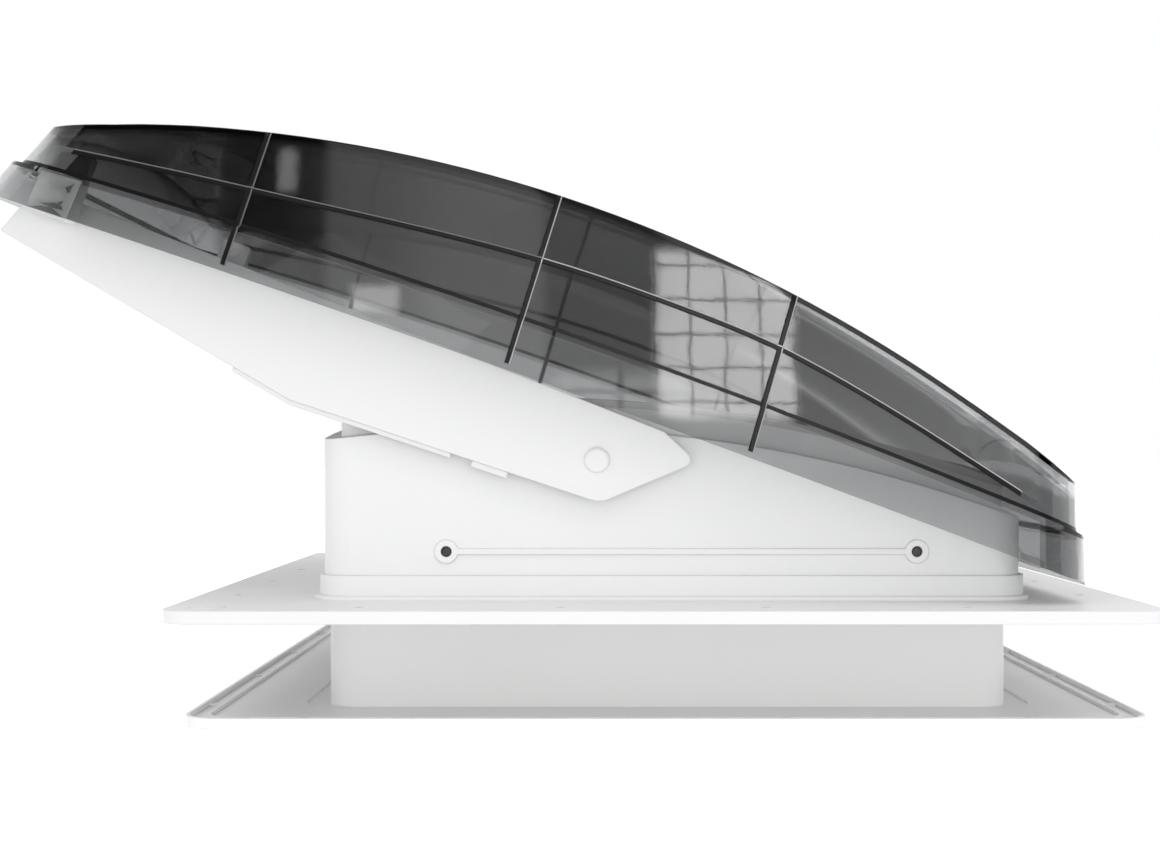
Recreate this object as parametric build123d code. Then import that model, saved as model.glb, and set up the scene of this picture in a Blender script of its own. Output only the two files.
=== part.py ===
from build123d import *
import math
import os

# Caravan roof vent: a smoked lid, raised on its hinge, over a fan housing. The housing stands in a roof flange,
# and a ceiling garnish closes the opening from the room. Sizes are millimetres and angles are degrees.
# Z = 0 is the roof's outer face, X points to the hinge end, and the model stands on the garnish's lower face.
# The lid and what it carries are drawn closed, then turned open about the hinge. All else is drawn in place.

# Fits and cutting
running_gap = 0.05
fit_gap = 0.3
overrun = 2.0

# Lid
lid_length = 588.0
lid_width = 424.0
lid_wall = 2.8
lid_corner = 24.0
lid_hinge_end_x = 216.3
lid_rim_level = 22.7
lid_rim_arch = 4.0
lid_open_angle = 19.6
lid_crown = 13.0
lid_step = 3.0
skirt_hinge_height = 25.0
skirt_middle_height = 31.0
skirt_front_height = 21.5
upper_hinge_height = 43.0
upper_middle_height = 94.0
upper_front_height = 39.0
lid_middle_share = 0.505
end_draft_angle = 19.3
side_draft_angle = 8.0
lid_prism_height = 140.0
upper_shell_lap = 6.0

# Raised lines on the lid
line_proud = 1.1
line_width = 3.2
cross_line_shares = (0.311, 0.528, 0.78)
cross_line_lean = -2.8
cross_line_rim_gap = 3.5
long_line_end_shares = (0.07, 0.968)
long_line_hinge_height = 32.0
long_line_middle_height = 62.5
long_line_front_height = 26.0
long_line_middle_share = 0.43

# Lid hinge
hinge_x = 192.0
hinge_z = 27.0
hinge_place_y = 110.0
hinge_knuckle_radius = 4.2
hinge_pin_radius = 2.0
hinge_bracket_width = 26.0
hinge_bracket_plate = 2.2
hinge_bracket_height = 26.0
hinge_lug_width = 6.0
hinge_web = 4.0
hinge_pin_head_radius = 3.4
hinge_pin_head = 1.6

# Fan housing
housing_side = 359.0
housing_centre_x = 6.0
housing_corner = 15.0
housing_wall = 2.5
housing_foot_level = 9.5
housing_drop = 23.0
coaming_inset = 8.0
coaming_wall = 2.5
coaming_drop = 14.5
coaming_seal_height = 3.4
coaming_seal_width = 4.5
housing_ledge = 5.0
housing_ledge_height = 2.5
side_screw_radius = 2.8
side_screw_spacing = 240.0
side_screw_centre_x = 10.6
side_screw_level = 31.2
side_boss_radius = 6.0
side_boss_height = 1.2
side_rib_height = 3.0

# Roof flange
flange_side = 484.0
flange_corner = 16.0
flange_plate = 2.5
flange_lip_height = 6.5
flange_lip_wall = 2.5
flange_seal_inner_side = 410.0
collar_wall = 2.2
collar_top_level = 19.0
collar_foot_width = 2.5
collar_foot_height = 2.2
neck_side = 340.0
neck_corner = 18.0
neck_depth = 22.0
neck_post_radius = 6.0
neck_post_inset = 9.0
roof_screw_radius = 2.4
roof_screw_edge = 20.0
roof_screw_wide = 148.0
roof_screw_narrow = 50.0
flange_mark_radius = 9.0
flange_mark_height = 0.7
tab_width = 24.0
tab_thick = 2.4
tab_rise = 7.0

# Ceiling garnish
garnish_side = 468.0
garnish_corner = 18.0
garnish_base_level = -51.0
garnish_plate = 3.0
garnish_lip_height = 5.3
garnish_lip_wall = 2.0
garnish_ridge_inset = 9.0
garnish_ridge_width = 2.0
garnish_ridge_rise = 1.6
garnish_centre_x = 1.0
garnish_neck_side = 351.0
garnish_neck_corner = 18.0
garnish_neck_wall = 2.4
garnish_neck_centre_x = 4.0
garnish_neck_top_level = 3.4
garnish_nub_count = 4
garnish_recess_inset = 12.0
garnish_recess_depth = 0.8
gusset_side = 30.0
gusset_height = 5.0
garnish_screw_radius = 2.0
garnish_screw_length = 38.0
garnish_screw_head_radius = 4.0
garnish_screw_head = 2.3
garnish_head_recess = 2.6

# Duct and fan
duct_radius = 152.5
duct_wall = 2.5
duct_top_level = 50.0
duct_lip = 5.0
duct_lip_height = 2.0
duct_plate = 2.5
duct_plate_edge_gap = 7.5
duct_screw_radius = 1.8
duct_screw_head_radius = 3.6
duct_screw_head = 1.8
duct_screw_place_y = 120.0
bracket_plate = 3.0
bracket_disc_radius = 38.0
bracket_arm_width = 12.0
bracket_arm_angle = 45.0
bracket_end_lap = 8.5
bracket_screw_radius = 1.6
bracket_screw_lap = 4.5
motor_radius = 32.0
motor_length = 34.0
motor_cap_height = 5.0
motor_cap_step = 3.0
motor_shaft_radius = 4.0
hub_radius = 40.0
hub_height = 27.0
hub_wall = 3.0
hub_boss_radius = 9.0
hub_clearance = 3.0
blade_count = 10
blade_tip_gap = 6.5
blade_root_chord = 42.0
blade_tip_chord = 58.0
blade_thick = 2.4
blade_root_pitch = 34.0
blade_tip_pitch = 20.0
rotor_nut_radius = 7.0
rotor_nut_height = 5.0

# Rain shield, lift shaft and gears
shield_pivot_x = -32.5
shield_pivot_z = 77.9
shield_turn_angle = 30.4
wing_inner_y = 186.0
wing_thick = 3.0
wing_lip_thick = 1.2
wing_lip_drop = 2.6
wing_heel_round = 14.0
wing_corner_round = 4.0
wing_front_low_spot = (0.9786, -14.78)
wing_front_high_spot = (0.9614, 12.27)
wing_knee_spot = (0.6958, -46.54)
wing_bend_spot = (0.6413, -45.73)
wing_back_reach = 34.0
wing_back_rise = 14.3
wing_tip_reach = 50.3
wing_tip_drop = 1.0
wing_heel_reach = 1.5
wing_heel_drop = 21.6
wing_lip_start_share = 0.2
wing_lip_end_share = 0.4
wing_tab_share = 0.56
wing_tab_length = 19.0
wing_tab_height = 6.5
shaft_radius = 4.0
shaft_bush_wall = 2.5
shaft_bush_flange = 2.0
shaft_bush_flange_thick = 1.0
pivot_cap_radius = 6.5
pivot_cap_height = 2.6
pivot_cap_round = 2.08
cross_bar_thick = 3.0
cross_bar_height = 20.0
cross_bar_edge = 5.0
cross_bar_foot = 9.0
guide_pin_share = 0.035
guide_pin_edge_gap = 1.5
guide_pin_radius = 2.5
guide_pin_length = 8.5
guide_pin_head_radius = 4.2
guide_pin_head = 1.2
guide_block_start_y = 193.0
guide_block_length = 21.0
guide_block_height = 35.0
guide_slot_depth = 6.0
guide_gap = 0.5
guide_path_shares = (0.0, 0.5, 1.0)
gear_module = 1.5
gear_width = 6.0
gear_place_y = -167.0
sector_teeth = 60
sector_first_tooth = -7
sector_last_tooth = 2
sector_rim = 7.0
sector_window_share = 0.33
sector_hub_radius = 9.0
pinion_teeth = 17
pinion_line_angle = -15.0
pressure_angle = 20.0
addendum_share = 0.9
dedendum_share = 1.25
gear_backlash = 0.3
flank_steps = 4
pinion_shaft_radius = 3.0
gearcase_width = 34.0
gearcase_depth = 18.0
gearcase_top_rise = 17.0
gearcase_corner = 5.0
lift_motor_radius = 11.5
lift_motor_length = 36.0

# Ceiling frame, screen and controls
frame_side = 330.0
frame_corner = 45.0
frame_wall = 2.2
frame_floor_level = -42.0
frame_floor = 2.5
screen_length = 252.0
screen_depth = 278.0
screen_centre_x = -18.0
screen_corner = 14.0
screen_height = 2.5
screen_border = 12.0
screen_pocket = 3.0
screen_ledge = 1.1
mesh_thick = 0.5
frame_opening_margin = 4.0
latch_place_x = 72.0
latch_gap_y = 11.0
latch_length = 21.0
latch_width = 10.0
latch_thick = 3.0
latch_pin_radius = 3.0
latch_head_radius = 4.5
latch_head = 1.5
panel_width = 44.0
panel_length = 150.0
panel_corner = 8.0
panel_thick = 3.0
panel_centre_x = 138.0
button_radius = 5.5
button_flange = 1.2
button_flange_thick = 1.0
button_rise = 2.2
button_round = 0.8
button_count = 5
button_pitch = 22.0
button_travel = 1.0
button_gap = 0.3
board_thick = 1.6
board_margin = 5.0
board_post_radius = 3.0
switch_side = 6.0
lens_radius = 4.0
lens_place_y = 66.0


# Shapes
def block(width, depth, corner, low, high, centre_x=0.0):
    """Upright block with rounded corners, from one level to another."""
    return Pos(centre_x, 0, low) * extrude(RectangleRounded(width, depth, corner), high - low)


def ring(width, depth, corner, wall, low, high, centre_x=0.0):
    """Upright rectangular ring of one wall thickness."""
    inside = block(width - 2 * wall, depth - 2 * wall, corner - wall, low - overrun, high + overrun, centre_x)
    return block(width, depth, corner, low, high, centre_x) - inside


def post(radius, low, high, x=0.0, y=0.0):
    """Upright round post."""
    return Pos(x, y, low) * extrude(Circle(radius), high - low)


def cross_rod(radius, start, end, x, z):
    """Round rod along Y."""
    return Pos(x, start, z) * Rot(-90, 0, 0) * extrude(Circle(radius), end - start)


def side_plate(face, start, end):
    """Face drawn in X and Z, made a plate from start to end along Y."""
    return Pos(0, end, 0) * Rot(90, 0, 0) * extrude(face, end - start)


def both_sides(piece):
    """A piece and its mirror image across the middle plane."""
    return [piece, mirror(piece, about=Plane.XZ)]


def turned(point, pivot, angle):
    """Place of a point in X and Z after a turn about the Y direction."""
    bend = math.radians(angle)
    dx, dz = point[0] - pivot[0], point[1] - pivot[1]
    x = pivot[0] + dx * math.cos(bend) + dz * math.sin(bend)
    z = pivot[1] - dx * math.sin(bend) + dz * math.cos(bend)
    return (x, z)


def opened(piece):
    """A lid piece, drawn closed, in its open place."""
    return piece.rotate(Axis((hinge_x, 0, hinge_z), (0, 1, 0)), lid_open_angle)


# Lid
hinge = (hinge_x, hinge_z)
shield_pivot = (shield_pivot_x, shield_pivot_z)
lid_centre_x = lid_hinge_end_x - lid_length / 2
end_slope = math.tan(math.radians(end_draft_angle))
side_slope = math.tan(math.radians(side_draft_angle))


def lid_spot(along, up):
    """Place in X and Z, from a distance along the closed lid and a height over its rim."""
    return (lid_hinge_end_x - along, lid_rim_level + up)


def lid_prism(inset):
    """Drafted block that the lid's walls follow, smaller by an inset all round."""
    top_length = lid_length - 2 * inset - 2 * end_slope * lid_prism_height
    top_width = lid_width - 2 * inset - 2 * side_slope * lid_prism_height
    foot = RectangleRounded(lid_length - 2 * inset, lid_width - 2 * inset, lid_corner)
    head = RectangleRounded(top_length, top_width, lid_corner)
    lower = Pos(lid_centre_x, 0, lid_rim_level) * foot
    upper = Pos(lid_centre_x, 0, lid_rim_level + lid_prism_height) * head
    return loft([lower, upper], ruled=True)


def top_circle():
    """Centre and radius of the arc that the lid's upper edge follows."""
    first = Vector(*lid_spot(end_slope * upper_hinge_height + lid_step, upper_hinge_height))
    middle = Vector(*lid_spot(lid_length * lid_middle_share, upper_middle_height))
    last_along = lid_length - lid_step - end_slope * upper_front_height
    last = Vector(*lid_spot(last_along, upper_front_height))
    arc = ThreePointArc(first, middle, last)
    return arc.arc_center, arc.radius


def crown_body(drop):
    """Body under the lid's crowned top, lowered by a drop."""
    centre, radius = top_circle()
    reach = radius - drop
    half = lid_width / 2
    low = reach - upper_middle_height - lid_rim_level - upper_middle_height
    top = ThreePointArc((half, reach), (0, reach + lid_crown), (-half, reach))
    sides = Polyline((-half, reach), (-half, low), (half, low), (half, reach))
    section = Pos(centre.X, 0, centre.Y) * (Plane.YZ * make_face(top + sides))
    return revolve(section, Axis((centre.X, 0, centre.Y), (0, 1, 0)), 360)


def skirt_band(drop):
    """Side shape of the skirt, from its arched rim to its step, as wide as the lid."""
    hinge_top = lid_spot(0, skirt_hinge_height - drop)
    middle_top = lid_spot(lid_length * lid_middle_share, skirt_middle_height - drop)
    front_top = lid_spot(lid_length, skirt_front_height - drop)
    rim_middle = lid_spot(lid_length / 2, lid_rim_arch)
    rim = ThreePointArc(lid_spot(0, 0), rim_middle, lid_spot(lid_length, 0))
    top = ThreePointArc(hinge_top, middle_top, front_top)
    ends = [Line(lid_spot(0, 0), hinge_top), Line(lid_spot(lid_length, 0), front_top)]
    face = make_face(Curve() + [rim, top] + ends)
    return side_plate(face, -lid_width / 2 - overrun, lid_width / 2 + overrun)


def lid_outside(proud):
    """Solid form of the lid's outer face, larger by a line's height."""
    skirt = lid_prism(-proud) & skirt_band(0)
    upper = lid_prism(lid_step - proud) & crown_body(-proud)
    floor = lid_rim_level + skirt_front_height - upper_shell_lap
    lap = block(lid_length * 2, lid_width * 2, lid_corner, 0, floor, lid_centre_x)
    return skirt + (upper - lap)


def lid_inside():
    """Solid form of the lid's hollow."""
    low_edge = lid_spot(0, -overrun)
    face_points = [
        low_edge,
        lid_spot(0, skirt_hinge_height - lid_wall),
        lid_spot(lid_length, skirt_front_height - lid_wall),
        lid_spot(lid_length, -overrun),
    ]
    middle = lid_spot(lid_length * lid_middle_share, skirt_middle_height - lid_wall)
    top = ThreePointArc(face_points[1], middle, face_points[2])
    rest = Polyline(face_points[2], face_points[3], face_points[0], face_points[1])
    band = side_plate(make_face(top + rest), -lid_width / 2, lid_width / 2)
    skirt = lid_prism(lid_wall) & band
    upper = lid_prism(lid_step + lid_wall) & crown_body(lid_wall)
    return skirt + upper


def cross_lines():
    """Slabs across the lid where its raised cross lines lie."""
    slabs = []
    for share in cross_line_shares:
        x, z = lid_spot(lid_length * share, cross_line_rim_gap)
        slab = Pos(0, 0, lid_prism_height / 2) * Box(line_width, lid_width + overrun, lid_prism_height)
        slabs.append(Pos(x, 0, z) * Rot(0, cross_line_lean, 0) * slab)
    return slabs


def long_line():
    """Band along the lid where its raised long line lies."""
    start_share, end_share = long_line_end_shares
    start = lid_spot(lid_length * start_share, long_line_hinge_height)
    middle = lid_spot(lid_length * long_line_middle_share, long_line_middle_height)
    end = lid_spot(lid_length * end_share, long_line_front_height)
    path = ThreePointArc(start, middle, end)
    face = SlotArc(path, line_width)
    half = lid_width / 2 + overrun
    return side_plate(face, -half, half)


def lid_shell():
    hollow = lid_inside()
    raised = lid_outside(line_proud)
    lines = [raised & slab for slab in cross_lines() + [long_line()]]
    body = lid_outside(0)
    for line in lines:
        body = body + line
    return opened(body - hollow)


# Hinge
def bracket_wall_x():
    return housing_centre_x + housing_side / 2


def hinge_bracket():
    """Plate on the housing's end wall with the middle knuckle."""
    wall_x = bracket_wall_x()
    half = hinge_bracket_width / 2
    low = collar_top_level + fit_gap
    plate_x = wall_x + hinge_bracket_plate / 2
    plate = Box(hinge_bracket_plate, hinge_bracket_width, hinge_bracket_height)
    plate = Pos(plate_x, 0, low + hinge_bracket_height / 2) * plate
    knuckle = cross_rod(hinge_knuckle_radius, -half, half, hinge_x, hinge_z)
    web_length = hinge_x - wall_x - hinge_bracket_plate / 2
    web = Box(web_length, hinge_bracket_width, hinge_knuckle_radius * 2)
    web = Pos(hinge_x - web_length / 2, 0, hinge_z) * web
    bore = cross_rod(hinge_pin_radius + running_gap, -half - overrun, half + overrun, hinge_x, hinge_z)
    return Pos(0, hinge_place_y, 0) * (plate + knuckle + web - bore)


def hinge_strap():
    """Two lugs beside a knuckle, with webs that meet the inside of the lid's end wall."""
    lugs = []
    for side in (-1, 1):
        inner = side * (hinge_bracket_width / 2 + fit_gap)
        outer = inner + side * hinge_lug_width
        start, end = min(inner, outer), max(inner, outer)
        lug = cross_rod(hinge_knuckle_radius, start, end, hinge_x, hinge_z)
        length = lid_hinge_end_x - hinge_x
        web = Pos(hinge_x + length / 2, (start + end) / 2, hinge_z) * Box(length, hinge_lug_width, hinge_web)
        lugs.append(lug + web)
    spread = hinge_bracket_width + 2 * fit_gap + 2 * hinge_lug_width
    back_length = lid_hinge_end_x - hinge_x - hinge_knuckle_radius - hinge_web
    back = Box(back_length, spread, hinge_web)
    back = Pos(lid_hinge_end_x - back_length / 2, 0, hinge_z) * back
    bore_half = spread / 2 + overrun
    bore = cross_rod(hinge_pin_radius + running_gap, -bore_half, bore_half, hinge_x, hinge_z)
    strap = Pos(0, hinge_place_y, 0) * (lugs[0] + lugs[1] + back - bore)
    hollow = lid_inside()
    return opened(strap & hollow)


def hinge_pin():
    half = hinge_bracket_width / 2 + fit_gap + hinge_lug_width + fit_gap
    rod = cross_rod(hinge_pin_radius, -half, half, hinge_x, hinge_z)
    near_head = cross_rod(hinge_pin_head_radius, -half - hinge_pin_head, -half, hinge_x, hinge_z)
    far_head = cross_rod(hinge_pin_head_radius, half, half + hinge_pin_head, hinge_x, hinge_z)
    return Pos(0, hinge_place_y, 0) * (rod + near_head + far_head)


# Fan housing
def side_screw_places():
    half = side_screw_spacing / 2
    return [side_screw_centre_x - half, side_screw_centre_x + half]


def fan_housing():
    """Square walls whose tops follow the closed lid, with a raised coaming inside them."""
    tall = lid_rim_level + lid_prism_height
    wall_drop = housing_drop + lid_wall
    foot_side = housing_side - 2 * housing_wall
    foot_corner = housing_corner - housing_wall
    coaming_side = housing_side - 2 * coaming_inset
    coaming_corner = housing_corner - coaming_inset / 2
    opening_side = coaming_side - 2 * coaming_wall
    opening_corner = coaming_corner - coaming_wall
    outside = block(housing_side, housing_side, housing_corner, housing_foot_level, tall, housing_centre_x)
    coaming = block(coaming_side, coaming_side, coaming_corner, housing_foot_level, tall, housing_centre_x)
    hollow = block(foot_side, foot_side, foot_corner, 0, tall, housing_centre_x)
    hollow = hollow & crown_body(wall_drop + housing_wall)
    opening = block(opening_side, opening_side, opening_corner, 0, tall, housing_centre_x)
    body = (outside & crown_body(wall_drop)) + (coaming & crown_body(coaming_drop)) - hollow - opening
    ledge_top = housing_foot_level + housing_ledge_height + housing_wall
    for side in (-1, 1):
        ledge = Box(housing_ledge + housing_wall / 2, foot_side - 2 * housing_corner, housing_ledge_height)
        x = housing_centre_x + side * (foot_side - housing_ledge + housing_wall / 2) / 2
        body = body + Pos(x, 0, ledge_top - housing_ledge_height / 2) * ledge
    half = housing_side / 2
    for x in side_screw_places():
        boss = cross_rod(side_boss_radius, -half - side_boss_height, half + side_boss_height, x, side_screw_level)
        body = body + (boss - block(foot_side, foot_side, housing_corner, 0, tall, housing_centre_x))
    rib_half = side_screw_spacing / 2 - (side_screw_radius + side_boss_radius) / 2
    rib_depth = side_boss_height + housing_wall
    for side in (-1, 1):
        rib = Box(2 * rib_half, rib_depth, side_rib_height)
        y = side * (half + side_boss_height / 2 - housing_wall / 2)
        body = body + Pos(side_screw_centre_x, y, side_screw_level) * rib
    for x in side_screw_places():
        body = body - cross_rod(side_screw_radius, -half - overrun, half + overrun, x, side_screw_level)
    bush_bore = shaft_radius + running_gap + shaft_bush_wall
    return body - cross_rod(bush_bore, -half - overrun, half + overrun, shield_pivot_x, shield_pivot_z)


def coaming_seal():
    side = housing_side - 2 * coaming_inset
    seal_overhang = (coaming_seal_width - coaming_wall) / 2
    outer = side + 2 * seal_overhang
    tall = lid_rim_level + lid_prism_height
    corner = housing_corner - coaming_inset / 2 + seal_overhang
    band = ring(outer, outer, corner, coaming_seal_width, 0, tall, housing_centre_x)
    return (band & crown_body(coaming_drop - coaming_seal_height)) - crown_body(coaming_drop)


def body_gasket():
    low = flange_lip_height
    wall = housing_wall + fit_gap
    return ring(housing_side, housing_side, housing_corner, wall, low, housing_foot_level, housing_centre_x)


# Roof flange
def roof_screw_places():
    edge = flange_side / 2 - roof_screw_edge
    pairs = [(wide, edge) for wide in (roof_screw_wide, roof_screw_narrow)]
    pairs = pairs + [(edge, wide) for wide in (roof_screw_wide, roof_screw_narrow)]
    return [(sx * x, sy * y) for x, y in pairs for sx in (-1, 1) for sy in (-1, 1)]


def neck_post_places():
    reach = neck_side / 2 - neck_post_inset
    return [(housing_centre_x + sx * reach, sy * reach) for sx in (-1, 1) for sy in (-1, 1)]


def roof_flange():
    """Plate with a turned-down lip, the collar round the housing and the neck through the roof."""
    plate_low = flange_lip_height - flange_plate
    neck_inside = neck_side - 2 * flange_plate
    opening = block(neck_inside, neck_inside, neck_corner - flange_plate, -neck_depth, collar_top_level,
                    housing_centre_x)
    plate = block(flange_side, flange_side, flange_corner, plate_low, flange_lip_height) - opening
    lip = ring(flange_side, flange_side, flange_corner, flange_lip_wall, 0, flange_lip_height)
    collar_side = housing_side + 2 * fit_gap + 2 * collar_wall
    collar_corner = housing_corner + fit_gap + collar_wall
    collar = ring(collar_side, collar_side, collar_corner, collar_wall, plate_low, collar_top_level,
                  housing_centre_x)
    foot_side = collar_side + 2 * collar_foot_width
    foot_high = flange_lip_height + collar_foot_height
    foot = ring(foot_side, foot_side, collar_corner + collar_foot_width, collar_foot_width + collar_wall,
                plate_low, foot_high, housing_centre_x)
    neck = ring(neck_side, neck_side, neck_corner, flange_plate, -neck_depth, flange_lip_height,
                housing_centre_x)
    body = plate + lip + collar + foot + neck
    for x, y in neck_post_places():
        body = body + post(neck_post_radius, -neck_depth, flange_lip_height, x, y)
    for x, y in neck_post_places():
        body = body - post(garnish_screw_radius + running_gap, -neck_depth - overrun, 0, x, y)
    for x, y in roof_screw_places():
        body = body - post(roof_screw_radius, -overrun, flange_lip_height + overrun, x, y)
    mark_place = flange_side / 2 - roof_screw_edge
    mark_high = flange_lip_height + flange_mark_height
    body = body + post(flange_mark_radius, plate_low, mark_high, -mark_place, -mark_place)
    tab_high = side_screw_level + tab_rise
    tab_y = housing_side / 2 - housing_wall - fit_gap * 2 - tab_thick / 2
    tab_height = tab_high - plate_low
    for x in side_screw_places():
        for side in (-1, 1):
            tab = Box(tab_width, tab_thick, tab_height)
            body = body + Pos(x, side * tab_y, plate_low + tab_height / 2) * tab
        body = body - cross_rod(side_screw_radius, -tab_y - tab_thick, tab_y + tab_thick, x, side_screw_level)
    return body


def roof_seal():
    """Sealing tape between the flange and the roof."""
    outer = flange_side - 2 * flange_lip_wall
    wall = (outer - flange_seal_inner_side) / 2
    high = flange_lip_height - flange_plate
    tape = block(outer, outer, flange_corner - flange_lip_wall, 0, high)
    tape = tape - block(outer - 2 * wall, outer - 2 * wall, flange_corner, -overrun, high + overrun)
    for x, y in roof_screw_places():
        tape = tape - post(roof_screw_radius, -overrun, high + overrun, x, y)
    return tape


# Ceiling garnish
def ceiling_garnish():
    """Shallow tray against the ceiling, with a neck up into the roof opening."""
    base = garnish_base_level
    plate = block(garnish_side, garnish_side, garnish_corner, base, base + garnish_plate, garnish_centre_x)
    lip = ring(garnish_side, garnish_side, garnish_corner, garnish_lip_wall, base, base + garnish_lip_height,
               garnish_centre_x)
    ridge_side = garnish_side - 2 * garnish_ridge_inset
    ridge = ring(ridge_side, ridge_side, garnish_corner - garnish_ridge_inset / 2, garnish_ridge_width,
                 base, base + garnish_plate + garnish_ridge_rise, garnish_centre_x)
    neck = ring(garnish_neck_side, garnish_neck_side, garnish_neck_corner, garnish_neck_wall,
                base, garnish_neck_top_level, garnish_neck_centre_x)
    inner_side = garnish_neck_side - 2 * garnish_neck_wall
    inner_corner = garnish_neck_corner - garnish_neck_wall
    opening = block(inner_side, inner_side, inner_corner, base - overrun, garnish_neck_top_level,
                    garnish_neck_centre_x)
    recess_side = garnish_neck_side + 2 * garnish_recess_inset
    plate_high = base + garnish_plate
    recess = ring(recess_side, recess_side, garnish_neck_corner + garnish_recess_inset, garnish_recess_inset,
                  plate_high - garnish_recess_depth, plate_high + overrun, garnish_neck_centre_x)
    body = (plate - recess) + lip + ridge + neck - opening
    nub_step = garnish_side / garnish_nub_count
    nub_gap = garnish_ridge_inset - garnish_lip_wall
    nub_height = garnish_lip_height - garnish_lip_wall
    nub_middle = base + garnish_lip_height / 2
    for turn in range(4):
        for index in range(garnish_nub_count):
            along = index * nub_step - garnish_side / 2 + nub_step / 2
            out = garnish_side / 2 - garnish_lip_wall - nub_gap / 2
            nub = Pos(along, -out, nub_middle) * Box(garnish_lip_wall, nub_gap + garnish_ridge_width, nub_height)
            body = body + Pos(garnish_centre_x, 0, 0) * (Rot(0, 0, 90 * turn) * nub)
    inner = block(inner_side + garnish_neck_wall, inner_side + garnish_neck_wall, inner_corner,
                  base, base + gusset_height, garnish_neck_centre_x)
    for x, y in neck_post_places():
        gusset = Box(gusset_side, gusset_side, gusset_height)
        body = body + ((Pos(x, y, base + gusset_height / 2) * gusset) & inner)
    for x, y in neck_post_places():
        body = body - post(garnish_screw_radius + fit_gap, base - overrun, base + gusset_height + overrun, x, y)
        body = body - post(garnish_screw_head_radius + fit_gap, base - overrun, base + garnish_head_recess, x, y)
    return body


def garnish_screws():
    """Four long screws from the garnish's corners into the posts of the roof flange."""
    screws = []
    head_high = garnish_base_level + garnish_head_recess
    shank_low = head_high - garnish_screw_head / 2
    for x, y in neck_post_places():
        head = post(garnish_screw_head_radius, head_high - garnish_screw_head, head_high, x, y)
        shank = post(garnish_screw_radius, shank_low, head_high + garnish_screw_length, x, y)
        screws.append(head + shank)
    return screws


# Duct and fan
duct_plate_level = housing_foot_level + housing_ledge_height + housing_wall
duct_plate_top = duct_plate_level + duct_plate
bracket_low = duct_plate_level - bracket_plate
fan_axis_x = housing_centre_x
bracket_reach = duct_radius + bracket_end_lap
bracket_screw_reach = duct_radius + bracket_screw_lap
blade_tip_reach = duct_radius - blade_tip_gap
hub_low = duct_plate_level + hub_clearance
hub_high = hub_low + hub_height


def duct_screw_places():
    x_reach = housing_side / 2 - housing_wall - duct_screw_head_radius - fit_gap
    return [(housing_centre_x + sx * x_reach, sy * duct_screw_place_y) for sx in (-1, 1) for sy in (-1, 1)]


def bracket_screw_places():
    spots = []
    for turn in range(4):
        angle = math.radians(bracket_arm_angle + 90 * turn)
        spots.append((fan_axis_x + bracket_screw_reach * math.cos(angle), bracket_screw_reach * math.sin(angle)))
    return spots


def fan_duct():
    """Plate across the housing with the round duct that the fan turns in."""
    width = housing_side - 2 * housing_wall - 2 * fit_gap
    plate_depth = housing_side - 2 * duct_plate_edge_gap
    plate = block(width, plate_depth, housing_corner, duct_plate_level, duct_plate_top, housing_centre_x)
    wall = post(duct_radius + duct_wall, duct_plate_level, duct_top_level, fan_axis_x)
    lip_radius = duct_radius + duct_wall + duct_lip
    lip = post(lip_radius, duct_top_level - duct_lip_height, duct_top_level, fan_axis_x)
    bore = post(duct_radius, duct_plate_level - overrun, duct_top_level + overrun, fan_axis_x)
    body = plate + wall + lip - bore
    low, high = duct_plate_level - overrun, duct_plate_top + overrun
    for x, y in duct_screw_places():
        body = body - post(duct_screw_radius + fit_gap, low, high, x, y)
    for x, y in bracket_screw_places():
        body = body - post(bracket_screw_radius + running_gap, low, high, x, y)
    return body


def duct_screws():
    """Four short screws that hold the duct's plate down on the housing's ledges."""
    screws = []
    for x, y in duct_screw_places():
        head = post(duct_screw_head_radius, duct_plate_top, duct_plate_top + duct_screw_head, x, y)
        shank = post(duct_screw_radius, duct_plate_level, duct_plate_top + duct_screw_head / 2, x, y)
        screws.append(head + shank)
    return screws


def motor_bracket():
    """Disc on four arms under the duct, which carries the fan motor."""
    body = post(bracket_disc_radius, bracket_low, duct_plate_level, fan_axis_x)
    for turn in range(2):
        arm = Box(2 * bracket_reach, bracket_arm_width, bracket_plate)
        arm = Rot(0, 0, bracket_arm_angle + 90 * turn) * arm
        arm = Pos(fan_axis_x, 0, bracket_low + bracket_plate / 2) * arm
        body = body + arm
    low, high = bracket_low - overrun, duct_plate_level + overrun
    for x, y in bracket_screw_places():
        body = body - post(bracket_screw_radius + running_gap, low, high, x, y)
    return body - post(motor_shaft_radius + fit_gap, low, high, fan_axis_x)


def bracket_screws():
    """Four screws that hold the motor bracket's arms up under the duct's plate."""
    screws = []
    for x, y in bracket_screw_places():
        head = post(duct_screw_head_radius, bracket_low - duct_screw_head, bracket_low, x, y)
        shank = post(bracket_screw_radius, bracket_low - duct_screw_head / 2, duct_plate_top, x, y)
        screws.append(head + shank)
    return screws


def motor_can():
    body = post(motor_radius, bracket_low - motor_length, bracket_low, fan_axis_x)
    bore_low = bracket_low - motor_length / 2
    return body - post(motor_shaft_radius + running_gap, bore_low, bracket_low + overrun, fan_axis_x)


def motor_end_cap():
    low = bracket_low - motor_length - motor_cap_height
    middle = low + motor_cap_height / 2
    rim = post(motor_radius + motor_cap_step / 2, middle, low + motor_cap_height, fan_axis_x)
    return rim + post(motor_radius - motor_cap_step, low, low + motor_cap_height, fan_axis_x)


def motor_shaft():
    low = bracket_low - motor_length / 2 + fit_gap
    return post(motor_shaft_radius, low, hub_high + rotor_nut_height, fan_axis_x)


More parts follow.
